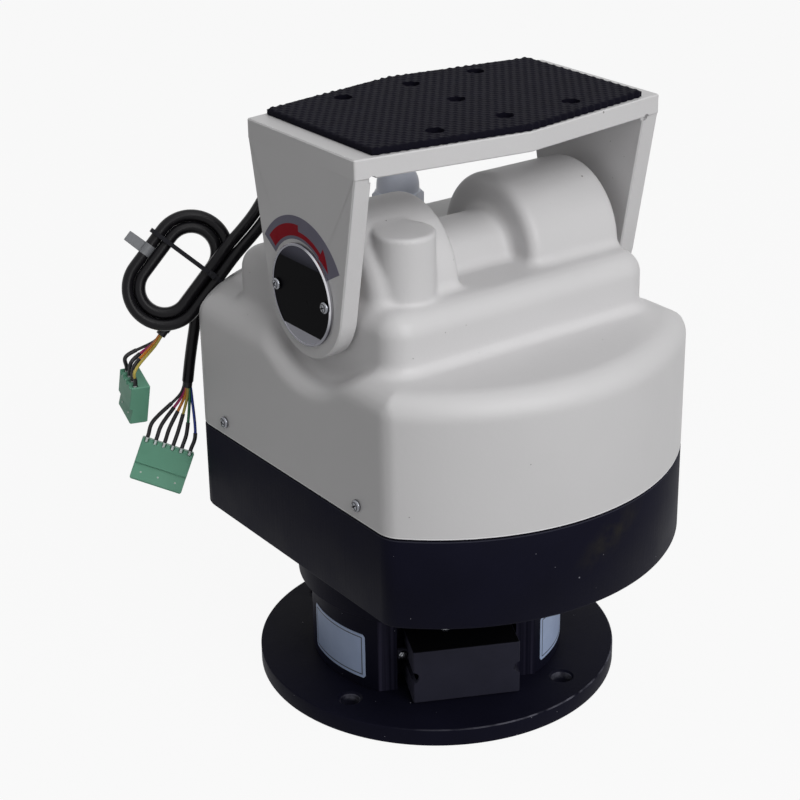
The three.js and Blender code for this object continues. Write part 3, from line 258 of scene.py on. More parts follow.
class Finish:
    """A material, or the world, whose nodes all come from one method."""

    def __init__(self, name, owner=None):
        self.material = owner or bpy.data.materials.new(name)
        self.material.use_nodes = True
        self.tree = self.material.node_tree
        self.tree.nodes.clear()

    def node(self, kind, sockets=None, output=0, **settings):
        """Adds a shader node, sets it, fills or links its sockets by name or number, and gives one output."""
        node = self.tree.nodes.new("ShaderNode" + kind)
        for key, value in settings.items():
            setattr(node, key, value)
        for key, value in (sockets or {}).items():
            if isinstance(value, Term):
                self.tree.links.new(value.socket, node.inputs[key])
            else:
                node.inputs[key].default_value = value
        return Term(self, node.outputs[output]) if len(node.outputs) else None

    def point(self):
        """Object coordinates in metres."""
        return self.node("TexCoord", output="Object")

    def place(self, axis):
        """One of the object coordinates, in millimetres."""
        return self.node("SeparateXYZ", {0: self.point()}, axis) / MM

    def along(self, turn):
        """How far a point of the plan lies in the direction of a turn t: x cos t + y sin t."""
        turn = np.radians(turn)
        return self.place("X") * float(np.cos(turn)) + self.place("Y") * float(np.sin(turn))

    def noise(self, size, detail=3, stretch=(1, 1, 1)):
        """Noise from 0 to 1 whose lumps are about `size` millimetres."""
        scaled = self.node("Mapping", {"Vector": self.point(), "Scale": stretch})
        return self.node("TexNoise", {"Vector": scaled, "Scale": 1 / (size * MM), "Detail": detail})

    def specks(self, size, share, spot):
        """1 in round spots, in that share of cells of `size` millimetres; spot is their radius over the size."""
        sockets = {"Vector": self.point(), "Scale": 1 / (size * MM)}
        near = self.node("TexVoronoi", sockets, "Distance")
        chance = self.node("SeparateColor", {0: self.node("TexVoronoi", sockets, "Color")})
        return (near < spot) * (chance < share)

    def mix(self, share, first, second):
        """The first colour where share is 0, the second where it is 1. Plain ones are given from 0 to 255."""
        first, second = [each if isinstance(each, Term) else linear(each) for each in (first, second)]
        return self.node("Mix", {0: share, 6: first, 7: second}, 2, data_type="RGBA")

    def bump(self, height, depth, below=None):
        """A normal from a height from 0 to 1 that stands for `depth` millimetres."""
        sockets = {"Height": height, "Distance": depth * MM, "Strength": 1.0}
        return self.node("Bump", sockets | ({} if below is None else {"Normal": below}))

    def white_where_seen(self, plain, white, share, output):
        """White for rays of the camera, of shiny surfaces and of clear ones, and a plain shader for the rest."""
        kinds = "Camera", "Glossy", "Transmission"
        camera, glossy, clear = [self.node("LightPath", output=f"Is {kind} Ray") for kind in kinds]
        both = {0: (camera + glossy + clear).clamped() * share, 1: plain, 2: white}
        self.node(output, {"Surface": self.node("MixShader", both)})
        return self.material

    def close(self, colour, roughness, normal, metallic=0.0, specular=0.5, wear_and_painted_light=None):
        """The surface shader and the material's output. A last function may add wear, stains and painted light and
        shade to the colour.
        """
        if wear_and_painted_light:
            colour = wear_and_painted_light(self, colour)
        shader = self.node("BsdfPrincipled", {
            "Base Color": colour, "Roughness": roughness, "Metallic": metallic, "Specular IOR Level": specular,
            "Normal": normal})
        self.node("OutputMaterial", {"Surface": shader})
        return self.material


def cast_paint():
    """Grey stove paint: orange peel, a faint drift of tint, pits and dark grains, and a painted highlight along
    the lower edge.
    """
    finish = Finish("grey_stove_paint")
    base = finish.mix(finish.noise(60, 2), (205, 204, 205), (211, 210, 211))
    grains = finish.specks(15.6, 0.4, 0.035) + finish.specks(6.4, 0.12, 0.045)
    # Paler lowest 0.6 mm of the cover: a painted highlight along its lower edge.
    base = finish.mix((finish.place("Z") < 140.6) * 0.8, base, (240, 240, 242))
    colour = finish.mix(grains * 0.75, base, (88, 84, 80))
    peel = finish.bump(finish.noise(2.6, 2) - grains, 0.06)
    return finish.close(colour, 0.4 + finish.noise(14) * 0.1, peel, specular=0.4)


def black_paint(wear_and_painted_light=None):
    """Black paint over metal: upright turning streaks, fine peel, dust specks, a dull cloudiness and a painted
    highlight on the ring's upper edge.
    """
    finish = Finish("black_paint")
    cloud = finish.noise(24, 4)
    base = finish.mix(cloud, (16, 16, 27), (22, 22, 36))
    # Paler above 138.2 mm, which is only the ring's upper edge: a painted highlight.
    base = finish.mix((finish.place("Z") > 138.2) * 0.5, base, (66, 66, 78))
    dust = finish.specks(5, 0.22, 0.045) + finish.specks(15, 0.5, 0.028)
    colour = finish.mix(dust * 0.7, base, (170, 170, 182))
    peel = finish.bump(finish.noise(1.6, 2, (1, 1, 0.04)), 0.05, finish.bump(finish.noise(1.5), 0.04))
    return finish.close(colour, 0.42 + cloud * 0.2, peel, specular=0.03, wear_and_painted_light=wear_and_painted_light)


def rim_wear_and_highlight(finish, colour):
    """Broken line of wear and painted highlight on the flange's rim, front right, and on the upper wall of each
    bolt hole, at the distance sqrt((max(|u|, |v|) - bolt circle)^2 + min(|u|, |v|)^2) from its middle."""
    x, y = finish.place("X"), finish.place("Y")
    radius = (x * x + y * y) ** 0.5
    # Rim line, strongest at the front right: worn paint together with a painted highlight.
    line = (radius > 99.3) * (finish.place("Z") > 9.4) * ((x * 0.6 - y * 0.8 - 5) * 0.014).clamped()
    first, second = abs(finish.along(bolt_turn)), abs(finish.along(bolt_turn + 90))
    from_hole = ((first.most(second) - bolt_circle) ** 2 + first.least(second) ** 2) ** 0.5
    line = line.most((from_hole < 5.7) * ((finish.place("Z") - 4.8) / 2).clamped())
    line = line * ((finish.noise(9, 4) - 0.36) * 4).clamped()
    return finish.mix(line * 0.6, colour, (120, 120, 132))


def hand_mark(finish, colour):
    """Dull brown smear on the front of the ring: fades with the distance from its middle, broken by noise."""
    x, z = finish.place("X") - 11, finish.place("Z") - 125.5
    away = ((x / 26) ** 2 + ((z - x * 0.5) / 13) ** 2) ** 0.5
    smear = (1 - away).clamped() * (finish.place("Y") < -100) * ((finish.noise(8, 4) - 0.35) * 3).clamped()
    return finish.mix(smear * 0.75, colour, (44, 42, 36))


def flat_streaks(finish, colour):
    """Paler upright machining streaks where the column is cut flat."""
    flat = (finish.along(flat_turn) > flat_distance - 0.1) * (finish.place("Z") < pocket_roof)
    streaks = ((finish.noise(2.4, 3, (1, 1, 0.012)) - 0.4) * 3).clamped()
    return finish.mix(flat * streaks * 0.6, colour, (62, 60, 78))


def painted_shade_top(finish, colour):
    """Upper face of the connector's cover darkened: painted shade under the ring."""
    return finish.mix(finish.place("Z") > connector_height + connector_half - 0.2, colour, (7, 7, 10))


def plain_finish(name, dark, light, roughness, grain, depth, metallic=0.0, specular=0.5, wear_and_painted_light=None):
    """Two near colours that drift over the piece, with a fine grain in roughness and height."""
    finish = Finish(name)
    colour = finish.mix(finish.noise(12), dark, light)
    rough = roughness + (finish.noise(grain * 3, 3) - 0.5) * 0.14
    return finish.close(colour, rough, finish.bump(finish.noise(grain), depth), metallic, specular, wear_and_painted_light)


def turned_metal(name, dark, light, roughness):
    """Metal with fine streaks, drawn out along one direction, and small changes of tint."""
    finish = Finish(name)
    streaks = finish.noise(2.0, 3, (1, 6, 6))
    colour = finish.mix(streaks, dark, light)
    rough = roughness + (finish.noise(5) - 0.5) * 0.2
    return finish.close(colour, rough, finish.bump(streaks, 0.02), 1.0)


finishes = {
    "grey_paint": cast_paint(),
    "black_paint": black_paint(),
    "black_plastic": plain_finish("black_moulding", (20, 20, 25), (27, 27, 33), 0.5, 0.8, 0.04, specular=0.12),
    "green_plastic": plain_finish("green_moulding", (104, 162, 136), (116, 174, 148), 0.45, 1.2, 0.02,
                                  specular=0.2),
    "gland_nylon": plain_finish("grey_nylon", (206, 211, 225), (216, 221, 235), 0.38, 1.2, 0.02),
    "rubber": plain_finish("black_rubber", (11, 10, 18), (18, 17, 28), 0.62, 0.7, 0.05, specular=0.03),
    "sheath": plain_finish("black_sheath", (14, 13, 16), (24, 23, 27), 0.32, 1.6, 0.03, specular=0.16),
    "steel": turned_metal("bright_steel", (176, 178, 182), (206, 208, 212), 0.3),
    "bronze": turned_metal("gear_bronze", (164, 124, 66), (190, 150, 88), 0.36),
    "aluminium": turned_metal("milled_aluminium", (180, 182, 186), (206, 208, 210), 0.38),
    "board": plain_finish("board_lacquer", (22, 72, 44), (32, 92, 56), 0.35, 2.0, 0.02),
}


def finished(piece, slot, *nodes, material=None):
    """Gives a piece the finish of its slot, or a given material, and hides the CAD nodes that it stands for."""
    piece.data.materials.clear()
    piece.data.materials.append(material or finishes[slot])
    if nodes:
        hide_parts(*nodes)
    return piece


def painted(piece, materials, numbers):
    """Gives each face of a piece the material of its own number."""
    piece.data.materials.clear()
    for material in materials:
        piece.data.materials.append(material)
    piece.data.polygons.foreach_set("material_index", np.asarray(numbers, np.int32))


# Every CAD node that is still shown takes the finish of its own slot.
slot_of = {row["node"]: row["material_slot"] for row in frame["record"]["subparts"]}
for name, node in frame["nodes"].items():
    for material_slot in node.material_slots:
        material_slot.link = "OBJECT"
        material_slot.material = finishes[slot_of[name]]


# ---- carved and cut forms
def carved(piece, forms, operation="DIFFERENCE", sharp=32):
    """The piece less closed forms, or joined with them, one after another. Only the piece is kept."""
    others = [surface("form", points, None, smooth=False) for points in forms]
    for other in others:
        modifier = piece.modifiers.new("carve", "BOOLEAN")
        modifier.object = other
        modifier.operation = operation
        modifier.solver = "MANIFOLD"
    graph = bpy.context.evaluated_depsgraph_get()
    mesh = bpy.data.meshes.new_from_object(piece.evaluated_get(graph))
    piece.modifiers.clear()
    piece.data = mesh
    shaded(mesh, sharp)
    for other in others:
        bpy.data.objects.remove(other)
    return piece


def stacked(rows):
    """Plans of [first, second] points, each at its own height."""
    return np.stack([np.column_stack([plan, np.full(len(plan), height)]) for plan, height in rows])


def rectangle(low_x, low_y, high_x, high_y):
    """Four corners, counter-clockwise."""
    return np.array([[low_x, low_y], [high_x, low_y], [high_x, high_y], [low_x, high_y]], float)


def slab(outline, low, high, edge=0.0):
    """An outline between two heights, its faces' edges moved in along their normals and closed at its middle."""
    outline = np.asarray(outline, float)
    following = np.roll(outline, -1, 0)
    ahead = unit(following - np.roll(outline, 1, 0))
    area = np.sum(outline[:, 0] * following[:, 1] - outline[:, 1] * following[:, 0])
    drawn_in = outline + np.stack([-ahead[:, 1], ahead[:, 0]], -1) * edge * np.sign(area)
    middle = np.repeat(outline.mean(0, keepdims=True), len(outline), 0)
    sides = [(drawn_in, low), (outline, low + edge), (outline, high - edge), (drawn_in, high)]
    return stacked([(middle, low), *sides, (middle, high)])


def carried(points, origin, x, y, z):
    """Points of a form's own axes put along three directions from a place."""
    return origin + points @ np.stack([x, y, z])


def rectangles(rows):
    """Closed form of rounded rectangles one above another: for each its sides, its height and its rounding."""
    return closed_ends(stacked([(softened(rectangle(*row[:4]), row[5], 3), row[4]) for row in rows]))


def rod(radius, start, end, steps=48, flare=0.0):
    """A round cutter along Z whose ends may flare for a softened rim."""
    inner = [[0, start], [radius + flare, start], [radius + flare, start + 2], [radius, start + 2 + flare]]
    outer = [[radius, end - 2 - flare], [radius + flare, end - 2], [radius + flare, end], [0, end]]
    return lathe(inner + outer, steps)


def box_form(low, high, edge=0.0):
    """An upright block between two corners."""
    outline = rectangle(*low[:2], *high[:2])
    return slab(softened(outline, edge) if edge else outline, low[2], high[2], edge)


def on_arm(points, side):
    """A form built along +Z put on the tilt shaft, standing out of the left arm or the right one."""
    return carried(points, (0, tilt_y, tilt_z), axis_y, axis_z, side * axis_x)


# ---- cables
cable_radius = 3.2
hank_centre = np.array([-87.7, 118, 215.8])
hank_front = unit([-0.452, -0.832, 0.335])
view_right = unit(np.cross(axis_z, hank_front))
view_up = np.cross(hank_front, view_right)
hank_along = turned(view_right, view_up, 230)[0]
hank_across = np.cross(hank_front, hank_along)
hank_axes = np.stack([hank_along, hank_across, hank_front])
hank_straight, hank_pitch, hank_turns, hank_end_run = 25, 7.6, 2, 8


def hank_place(along, across, front):
    """Point of the hank's own frame: centre + along A + across C + front F."""
    return hank_centre + grid_points(along, across, front) @ hank_axes


def hank_loop(radius, run):
    """Racetrack that moves back one pitch a turn: a straight run s, then a half circle (s / 2 + r sin t,
    r cos t), and both again turned round."""
    half_loop = hank_straight + np.pi * radius
    halves, step = np.divmod(run, half_loop)
    side = 1 - 2 * (halves % 2)
    turn = np.maximum(step - hank_straight, 0) / radius
    along = np.minimum(step, hank_straight) - hank_straight / 2 + radius * np.sin(turn)
    depth = hank_pitch * (hank_turns - run / half_loop) / 2
    return hank_place(side * along, side * radius * np.cos(turn), depth)


def cable_path(side, radius, forward, route):
    """Centre line of a cable: out of the gland, over the shoulder, round the hank, forward out of it and on."""
    middle = np.array([[gland_x, gland_y, 238], [gland_x, gland_y, 253], [44, 96, 263], [36, 97, 272],
                       [24, 98, 277], [6, 99, 277], [-14, 100, 269], [-32, 101, 256], [-47, 99.5, 241]])
    share = np.maximum(0, (np.arange(len(middle)) - 2) / 6)[:, None]
    lead = middle + side * 3.3 * unit(axis_y * (1 - share) - hank_across * share)
    loop = 2 * (hank_straight + np.pi * radius)
    depth = hank_pitch * hank_turns / 2
    back = np.array([12, 0.3])
    into = hank_place(-hank_straight / 2 - back, radius, depth + 2 * hank_pitch / loop * back)
    travel = hank_turns * loop + hank_end_run
    wound = hank_loop(radius, np.linspace(0, travel, 260))
    forward = np.array(forward)
    fall = depth - hank_pitch * (travel + forward) / loop
    tail = np.vstack([hank_place(hank_end_run - hank_straight / 2 + forward, radius, fall), *route])
    return evenly(np.vstack([curve_through(np.vstack([lead, into])), wound, curve_through(tail)]), 1.6)


path_a = cable_path(1, 13.6, [0.3, 8, 24, 36], [])
path_b = cable_path(-1, 20.1, [0.3, 8], [
    [-78.6, 115.6, 190], [-81, 116.6, 178], [-84, 117.4, 162], [-86, 118, 149]])
cable_a, cable_b = [
    finished(surface(f"cable_{key}", tube(path, cable_radius, 16, hank_front), "housing"),
             "sheath", f"cable_{key}_lead", f"cable_{key}_coil", f"cable_{key}_tail")
    for key, path in [("a", path_a), ("b", path_b)]]


# ---- plugs and wires
def plug_axes(lean, tip, turn):
    """Directions across, down and out of a plug that leans in the view's plane, tips back and turns round."""
    down = turned(turned(-view_up, -view_right, lean)[0], -hank_front, tip)[0]
    level = unit(np.cross(down, hank_front))
    across = turned(level, np.cross(level, down), turn)[0]
    return across, down, np.cross(across, down)


def plug_piece(key, top, axes, poles):
    """Plug: rounded rectangles stacked down its length, a half-round notch over each pole, and its white dots."""
    half, deep, rounding = poles * pole_pitch / 2, 5.5, 0.5
    rows = [(drawn - half, drawn - deep, half - drawn, front, down, rounding) for down, drawn, front in [
        (0, 0.4, 5.1), (0.4, 0, 5.5), (14.4, 0, 5.5), (14.7, 0, 3.9), (23.7, 0, 4.9), (24.5, 0.7, 4.3)]]
    across, down, out = axes
    body = carried(rectangles(rows), top, across, out, down)
    piece = surface(f"terminal_plug_{key}", body, "housing")
    poles_at = (np.arange(poles) - (poles - 1) / 2) * pole_pitch
    notch = [rod(1.5, 1, 9, 20) + [0, 0.9, 0], box_form((-1.5, -2, 1), (1.5, 0.9, 9))]
    carved(piece, [carried(part + [x, 0, 0], top, *axes) for part in notch for x in poles_at], sharp=30)
    finished(piece, "green_plastic", f"plug_{key}")
    dot = lathe([[0, 4.2], [0.55, 4.4], [0.45, 4.75], [0, 4.8]], 16)
    dots = [carried(dot + [x, 19.4, 0], top, *axes) for x in poles_at[::2] + pole_pitch / 2]
    return piece, grid_group(f"plug_marks_{key}", dots, "steel", [mark_paint] * len(dots))


def grid_group(name, grids, slot, materials, *nodes):
    """One mesh on the housing of several grids of points, each with its own material."""
    points = np.concatenate([grid.reshape(-1, 3) for grid in grids])
    starts = np.cumsum([0] + [grid.shape[0] * grid.shape[1] for grid in grids])
    faces = [grid_faces(*grid.shape[:2], start=start) for grid, start in zip(grids, starts)]
    piece = finished(make(name, points, np.concatenate(faces), "housing"), slot, *nodes)
    order = list(dict.fromkeys(materials))
    painted(piece, order, np.repeat([order.index(own) for own in materials], [len(part) for part in faces]))
    return piece


wire_black = plain_finish("wire_sleeve_black", (17, 16, 19), (30, 29, 33), 0.5, 0.8, 0.02, specular=0.35)
ferrule_tin = plain_finish("ferrule_tin", (240, 242, 246), (248, 250, 252), 0.3, 0.8, 0.01)
mark_paint = plain_finish("white_mark", (206, 214, 208), (222, 228, 224), 0.4, 0.8, 0.01)
grey_tag = plain_finish("tag_film", (112, 114, 118), (128, 130, 134), 0.5, 1.5, 0.02)
wire_colours = {"black": wire_black}
for name, light in [("magenta", (176, 38, 104)), ("orange", (226, 138, 40)), ("yellow", (206, 186, 84)),
                    ("green", (30, 112, 72)), ("blue", (34, 62, 168))]:
    wire_colours[name] = plain_finish(f"wire_{name}", np.array(light) * 0.88, light, 0.38, 0.8, 0.01)


def wiring(key, path, top, axes, colours, bared):
    """Wires that spread from a short root in the sheath's end to the plug's poles: each a coloured run, a thicker
    black sleeve and a bright ferrule."""
    across, down, out = axes
    end = path[-1]
    heading = unit(path[-1] - path[-4])
    poles = len(colours)
    root = np.array([end - heading * 0.2, end + heading * 1.6, end + heading * 3.4])
    grids = [tube(evenly(root, 0.6), 2.75, 12, hank_front)]
    materials = [wire_black]
    for place, colour in enumerate(colours):
        shift = across * (place - (poles - 1) / 2) * pole_pitch
        inside = end + heading * 1.8 + shift * 0.13 + out * 0.9 * np.sin(2 * np.pi * place / poles)
        below = inside + heading * 7 + shift * 0.13
        entry = top + shift + out * 2.5
        above = entry - down * 9 + across * np.sin(3.1 * place) * 0.9 + out * 1.2 * np.sin(2.4 * place + 1)
        route = evenly(curve_through([inside, below, above, entry - down * 2.2, entry + down * 2.2], 14), 0.9)
        cut = int(len(route) * bared[place])
        for part, radius in [(route[:cut + 2], 0.85), (route[cut:-3], 1.15), (route[-5:], 0.8)]:
            grids.append(tube(part, radius, 12, hank_front))
        materials += [wire_colours[colour], wire_black, ferrule_tin]
    return grid_group(f"plug_wires_{key}", grids, "sheath", materials, f"wires_{key}")


axes_a = plug_axes(8.6, 31, -68)
axes_b = plug_axes(22.1, 0, 0)
top_a = np.array([-117.6, 120.4, 158.5])
top_b = np.array([-100.2, 119.2, 112.9])
plug_a, marks_a = plug_piece("a", top_a, axes_a, 4)
plug_b, marks_b = plug_piece("b", top_b, axes_b, 6)
wires_a = wiring("a", path_a, top_a, axes_a, ["yellow", "orange", "magenta", "black"], [0.8, 0.55, 0.5, 0.5])
wires_b = wiring("b", path_b, top_b, axes_b, ["blue", "green", "yellow", "orange", "magenta", "black"],
                 [0.66, 0.56, 0.46, 0.44, 0.4, 0.36])


def cable_tag():
    """Blank flag label: a band round the outer cable of the hank and a thin leaf that stands off it."""
    step = int(np.argmin(np.linalg.norm(path_b - np.array([-100, 129, 226]), axis=1)))
    ahead = unit(path_b[step + 1] - path_b[step - 1])
    outward = unit(np.array([-112, 134, 231]) - path_b[step])
    outward = unit(outward - ahead * (outward @ ahead))
    thick = np.cross(ahead, outward)
    band = tube(path_b[step - 2:step + 3], cable_radius + 0.25, 12, outward)
    leaf = slab(softened([[3.2, -3.2], [13.5, -3.0], [13.5, 3.0], [3.2, 3.2]], 0.5, 2), -0.2, 0.2, 0.05)
    leaf = carried(leaf, path_b[step], outward, ahead, thick)
    return grid_group("cable_tag", [band, leaf], "black_plastic", [grey_tag] * 2)


tie = frame["nodes"]["bundle_tie"]
for cable, path, others in [(cable_a, path_a, [plug_a, marks_a, wires_a, tie]),
                            (cable_b, path_b, [plug_b, marks_b, wires_b, cable_tag()])]:
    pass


# ---- cover
def joined(first, second, fillet):
    """Round union of two distance fields: max(r, min(a, b)) - hypot(max(r - a, 0), max(r - b, 0))."""
    fill = np.hypot(np.maximum(fillet - first, 0), np.maximum(fillet - second, 0))
    return np.maximum(fillet, np.minimum(first, second)) - fill


def common(first, second, edge):
    """Round intersection of two distance fields: min(-r, max(a, b)) + hypot(max(r + a, 0), max(r + b, 0))."""
    return -joined(-first, -second, edge)


def cover_form(x, y, z):
    """Distance field of the cover's outside: shoulder less two scoops, then step, humps, link, boss and pad."""
    shoulder, step_top = 214, tilt_z
    plan = common(np.hypot(x, y - plan_y) - plan_radius, np.abs(x) - plan_flat, 3.6)
    scoop = np.maximum(np.hypot(y - tilt_y, z - tilt_z) - 47, 76 - np.abs(x))
    solid = common(common(plan, z - shoulder, 13), -scoop, 9)
    past_x, past_y = np.abs(x) - 68.5, np.abs(y + 5) - 59
    inside = np.minimum(np.maximum(past_x, past_y), 0)
    step_plan = np.hypot(np.maximum(past_x, 0), np.maximum(past_y, 0)) + inside - 14
    solid = joined(solid, common(step_plan, z - step_top, 12), 6)
    over = np.hypot(y - tilt_y, np.maximum(z - tilt_z, 0))
    for start, end, start_soft, end_soft in [(-77, -27, 9, 3), (19.5, 77, 6, 3)]:
        drum = common(common(over - 39, start - x, start_soft), x - end, end_soft)
        solid = joined(solid, drum, 5)
    solid = joined(solid, np.maximum(over - 21, np.abs(x + 4) - 35), 5)
    boss = common(np.hypot(x + 56, y + 52) - 15.5, z - 278, 1.6)
    solid = joined(solid, np.maximum(boss, shoulder - z), 2)
    pad = common(np.hypot(x - gland_x, y - gland_y) - 17, z - 218, 1.5)
    return joined(solid, pad, 3)


def cover_shell(x, y, z):
    """Wall under the outside, 3.5 at its rim and 4.8 above, less the bores of the tilt bushes and of the gland."""
    outside = cover_form(x, y, z)
    wall = np.maximum(outside, -(outside + 3.5 + 1.3 * np.clip((z - 165) / 20, 0, 1)))
    bush = np.maximum(np.hypot(y - tilt_y, z - tilt_z) - 13.3, 70 - np.abs(x))
    gland = np.maximum(np.hypot(x - gland_x, y - gland_y) - 10.3, 190 - z)
    return np.maximum(wall, -np.minimum(bush, gland))


def level_surface(field, low, high, step):
    """Where a field is zero: in each crossed cell of a grid the mean of its edges' crossings, moved onto the
    surface along the field's slope, and round each crossed edge the quad of its four cells."""
    axes = [np.arange(start, stop + step, step) for start, stop in zip(low, high)]
    value = field(*np.ix_(*axes))
    cells = np.array(value.shape) - 1
    total = np.zeros((*cells, 3), np.float32)
    count = np.zeros(cells, np.int16)
    edges = []
    for axis in range(3):
        layers = np.moveaxis(value, axis, 0)
        near, far = np.moveaxis(layers[:-1], 0, axis), np.moveaxis(layers[1:], 0, axis)
        crossed = (near < 0) != (far < 0)
        near, far, where = near[crossed], far[crossed], np.argwhere(crossed)
        point = where.astype(float)
        point[:, axis] += near / (near - far)
        ring = []
        whole = np.ones(len(where), bool)
        for shift in [(-1, -1), (0, -1), (0, 0), (-1, 0)]:
            cell = where + np.insert(shift, axis, 0)
            fits = ((cell >= 0) & (cell < cells)).all(1)
            whole &= fits
            np.add.at(total, tuple(cell[fits].T), point[fits])
            np.add.at(count, tuple(cell[fits].T), 1)
            ring.append(cell)
        edges.append((np.stack(ring, 1)[whole], (near[whole] < 0) == (axis != 1)))
    used = count > 0
    number = np.full(cells, -1)
    number[used] = np.arange(used.sum())
    points = total[used] / count[used][:, None] * step + np.asarray(low)
    quads = []
    nudge = 0.05
    for ring, forward in edges:
        quad = number[tuple(np.moveaxis(ring, -1, 0))]
        quads.append(np.where(forward[:, None], quad, quad[:, ::-1]))
    for _ in range(4):
        distance = field(*points.T)
        slope = np.stack([field(*(points + move).T) - field(*(points - move).T) for move in np.eye(3) * nudge], -1)
        slope /= 2 * nudge
        slope[points[:, 2] < low[2] + step * 0.6, 2] = 0
        points -= slope * (distance / np.maximum((slope ** 2).sum(1), 0.2))[:, None]
    return points, np.concatenate(quads)


grid_step = 1.8
points, quads = level_surface(cover_shell, (-99.9, -137.7, 140 - grid_step / 2), (99.9, 129.6, 286), grid_step)
finished(make("cover_casting", points, quads, "housing", sharp=50, bridge=True), "grey_paint", "upper_cover")


# ---- housing ring
def housing_outline(inset):
    """Housing plan drawn in: points centre + radius (cos t, sin t) for each direction t of the outward normal."""
    turn = np.arctan2(corner_y, corner_x)
    normal = np.interp(np.arange(81), [0, 8, 72, 80], [0, turn, np.pi - turn, np.pi])
    side = np.repeat([1, 0, -1], [9, 64, 8])
    reach = np.where(side == 0, plan_radius, plan_corner) - inset
    half = np.stack([side * corner_x + reach * np.cos(normal), abs(side) * corner_y + reach * np.sin(normal)], -1)
    return np.vstack([half, -half]) + [0, plan_y]


# Closed section of the black ring carried round the plan: bore, underside, side, lip, inside and floor.
bore = 32.3 * unit(housing_outline(0))
section = [(1.4, 90), (0.5, 90.3), (0, 91.2), (0, 137.9), (0.3, 138.5), (1.0, 138.7), (3.9, 138.7),
           (3.9, 155.6), (4.3, 156), (6.5, 156), (6.9, 155.6), (6.9, 98), (8, 96)]
rows = stacked([(bore, 96), (bore, 90)] + [(housing_outline(inset), height) for inset, height in section])
ring = surface("housing_ring", rows, "housing", wrap_rows=True)
finished(ring, "black_paint", "lower_housing", material=black_paint(hand_mark))


# ---- flange and column
flange_profile = softened([[0, 0], [100, 0], [100, 10], [0, 10]], [0, 0.9, 0.8, 0])
flange = surface("flange", lathe(flange_profile, 240), "base")
hole_ways = [turned(axis_x, axis_y, bolt_turn + 90 * hole)[0] for hole in range(4)]
carved(flange, [rod(5.3, -2.5, 12.5, 48, 1.9) + bolt_circle * way for way in hole_ways])
finished(flange, "black_paint", "base_flange", material=black_paint(rim_wear_and_highlight))

flat_out, flat_side = turned(axis_x, axis_y, flat_turn)
pocket_roof = 58


def facing_flat(points):
    """A form built in front of +X carried round to face along the column's flat."""
    return carried(points, (0, 0, 0), flat_out, flat_side, axis_z)


column_profile = softened([[0, 10.3], [column_radius, 10.3], [column_radius, pocket_roof], [77, pocket_roof],
                           [77, 87.5], [0, 87.5]], [0, 0.5, 1.2, 0.8, 0.6, 0])
column = surface("column", lathe(column_profile, 240), "base")
carved(column, [
    facing_flat(box_form((flat_distance, -80, 5), (90, 80, pocket_roof))),
    facing_flat(box_form((40, -33, 5), (90, 33, pocket_roof + 0.1))),
    lathe([[0, 5], [30, 5], [30, 79.5], [0, 79.5]], 96),
    lathe([[0, 70], [20.3, 70], [20.3, 95], [0, 95]], 96),
])
finished(column, "black_paint", "pedestal", material=black_paint(flat_streaks))


def out_of_flat(points, side):
    """A form built along +Z put in front of the flat at the connector's height, to one side of its middle."""
    return carried(points, facing_flat(np.array([0, side, connector_height])), flat_side, axis_z, flat_out)


# Deep open-backed cover: rectangles stacked outwards, first its hollow, then back and out along its outside.
connector_height, connector_half = 26.65, 15.65
rows = [(-half_width, -half_height, half_width, half_height, distance, soft)
        for half_width, half_height, distance, soft in [
            (0.5, 0.5, 70, 0.2), (27.2, 13.65, 70, 0.6), (27.2, 13.65, 40.3, 0.6),
            (29.2, connector_half, 40.3, 0.9), (29.2, connector_half, 71.3, 0.9),
            (28.9, 15.35, 71.8, 0.8), (28.5, 14.95, 72, 0.7), (0.5, 0.5, 72, 0.2)]]
connector = surface("connector_box", out_of_flat(rectangles(rows), 1.8), "base")
carved(connector, [facing_flat(box_form((54, -32.6, 30.3), (57, -26, 35.9), 0.4))], "UNION")
carved(connector, [out_of_flat(rod(3.3, 36, 76), side) for side in (-27.4, 31.0)], sharp=20)
# The cover's upper face is darkened as painted shade.
moulding = plain_finish("box_moulding", (40, 40, 51), (47, 47, 60), 0.57, 0.8, 0.04, specular=0.08, wear_and_painted_light=painted_shade_top)
finished(connector, "black_plastic", "connector_cover", material=moulding)


# ---- yoke
def arm_outline():
    """Arm seen from its side: a half circle about the shaft and two straight edges that touch it."""
    radius, half, low, high = 32.5, plate_half, 68.8, 78.2
    touch = np.arctan2(low, half) - np.arccos(radius / np.hypot(half, low))
    end = np.linspace(touch, -np.pi - touch, 65)
    round_end = radius * np.stack([np.cos(end), np.sin(end)], -1)
    top = [[-half, low], [-half, high], [half, high], [half, low]]
    return np.vstack([round_end, softened(top, [0.3, 1.4, 1.4, 0.3], 2)])


plate_half, plate_hole = 46.5, 4.75
plate_holes = np.array([[0, 0]] + [[x, side * 38.5] for x in (-42, 0, 42) for side in (-1, 1)]) + [0, tilt_y]
# Plate from above: straight ends, and long edges that rise to a blunt ridge at the middle.
half = np.array([[94, -plate_half], [94, plate_half], [0, plate_half + 13.5]])
plate = softened(np.vstack([half, -half]) + [0, tilt_y], [1.2, 1.2, 1.5, 1.2, 1.2, 1.5])
yoke = surface("yoke_frame", slab(plate, 312.8, 322.8, 0.6), "yoke")
carved(yoke, [on_arm(slab(arm_outline(), 84, 93.95, 0.7), side) for side in (-1, 1)], "UNION")
cuts = [rod(plate_hole, 310, 325.2, 40, 0.3) + [x, y, 0] for x, y in plate_holes]
cuts += [on_arm(rod(8.3, 80, 98), side) for side in (-1, 1)]
cuts += [carried(rod(2.1, 0, 8, 20), (side * 84.6, end, 312.2), axis_z, axis_x, axis_y)
         for side in (-1, 1) for end in (-72, 24)]
carved(yoke, cuts)
finished(yoke, "grey_paint", "yoke_arm_left", "yoke_arm_right", "camera_plate")


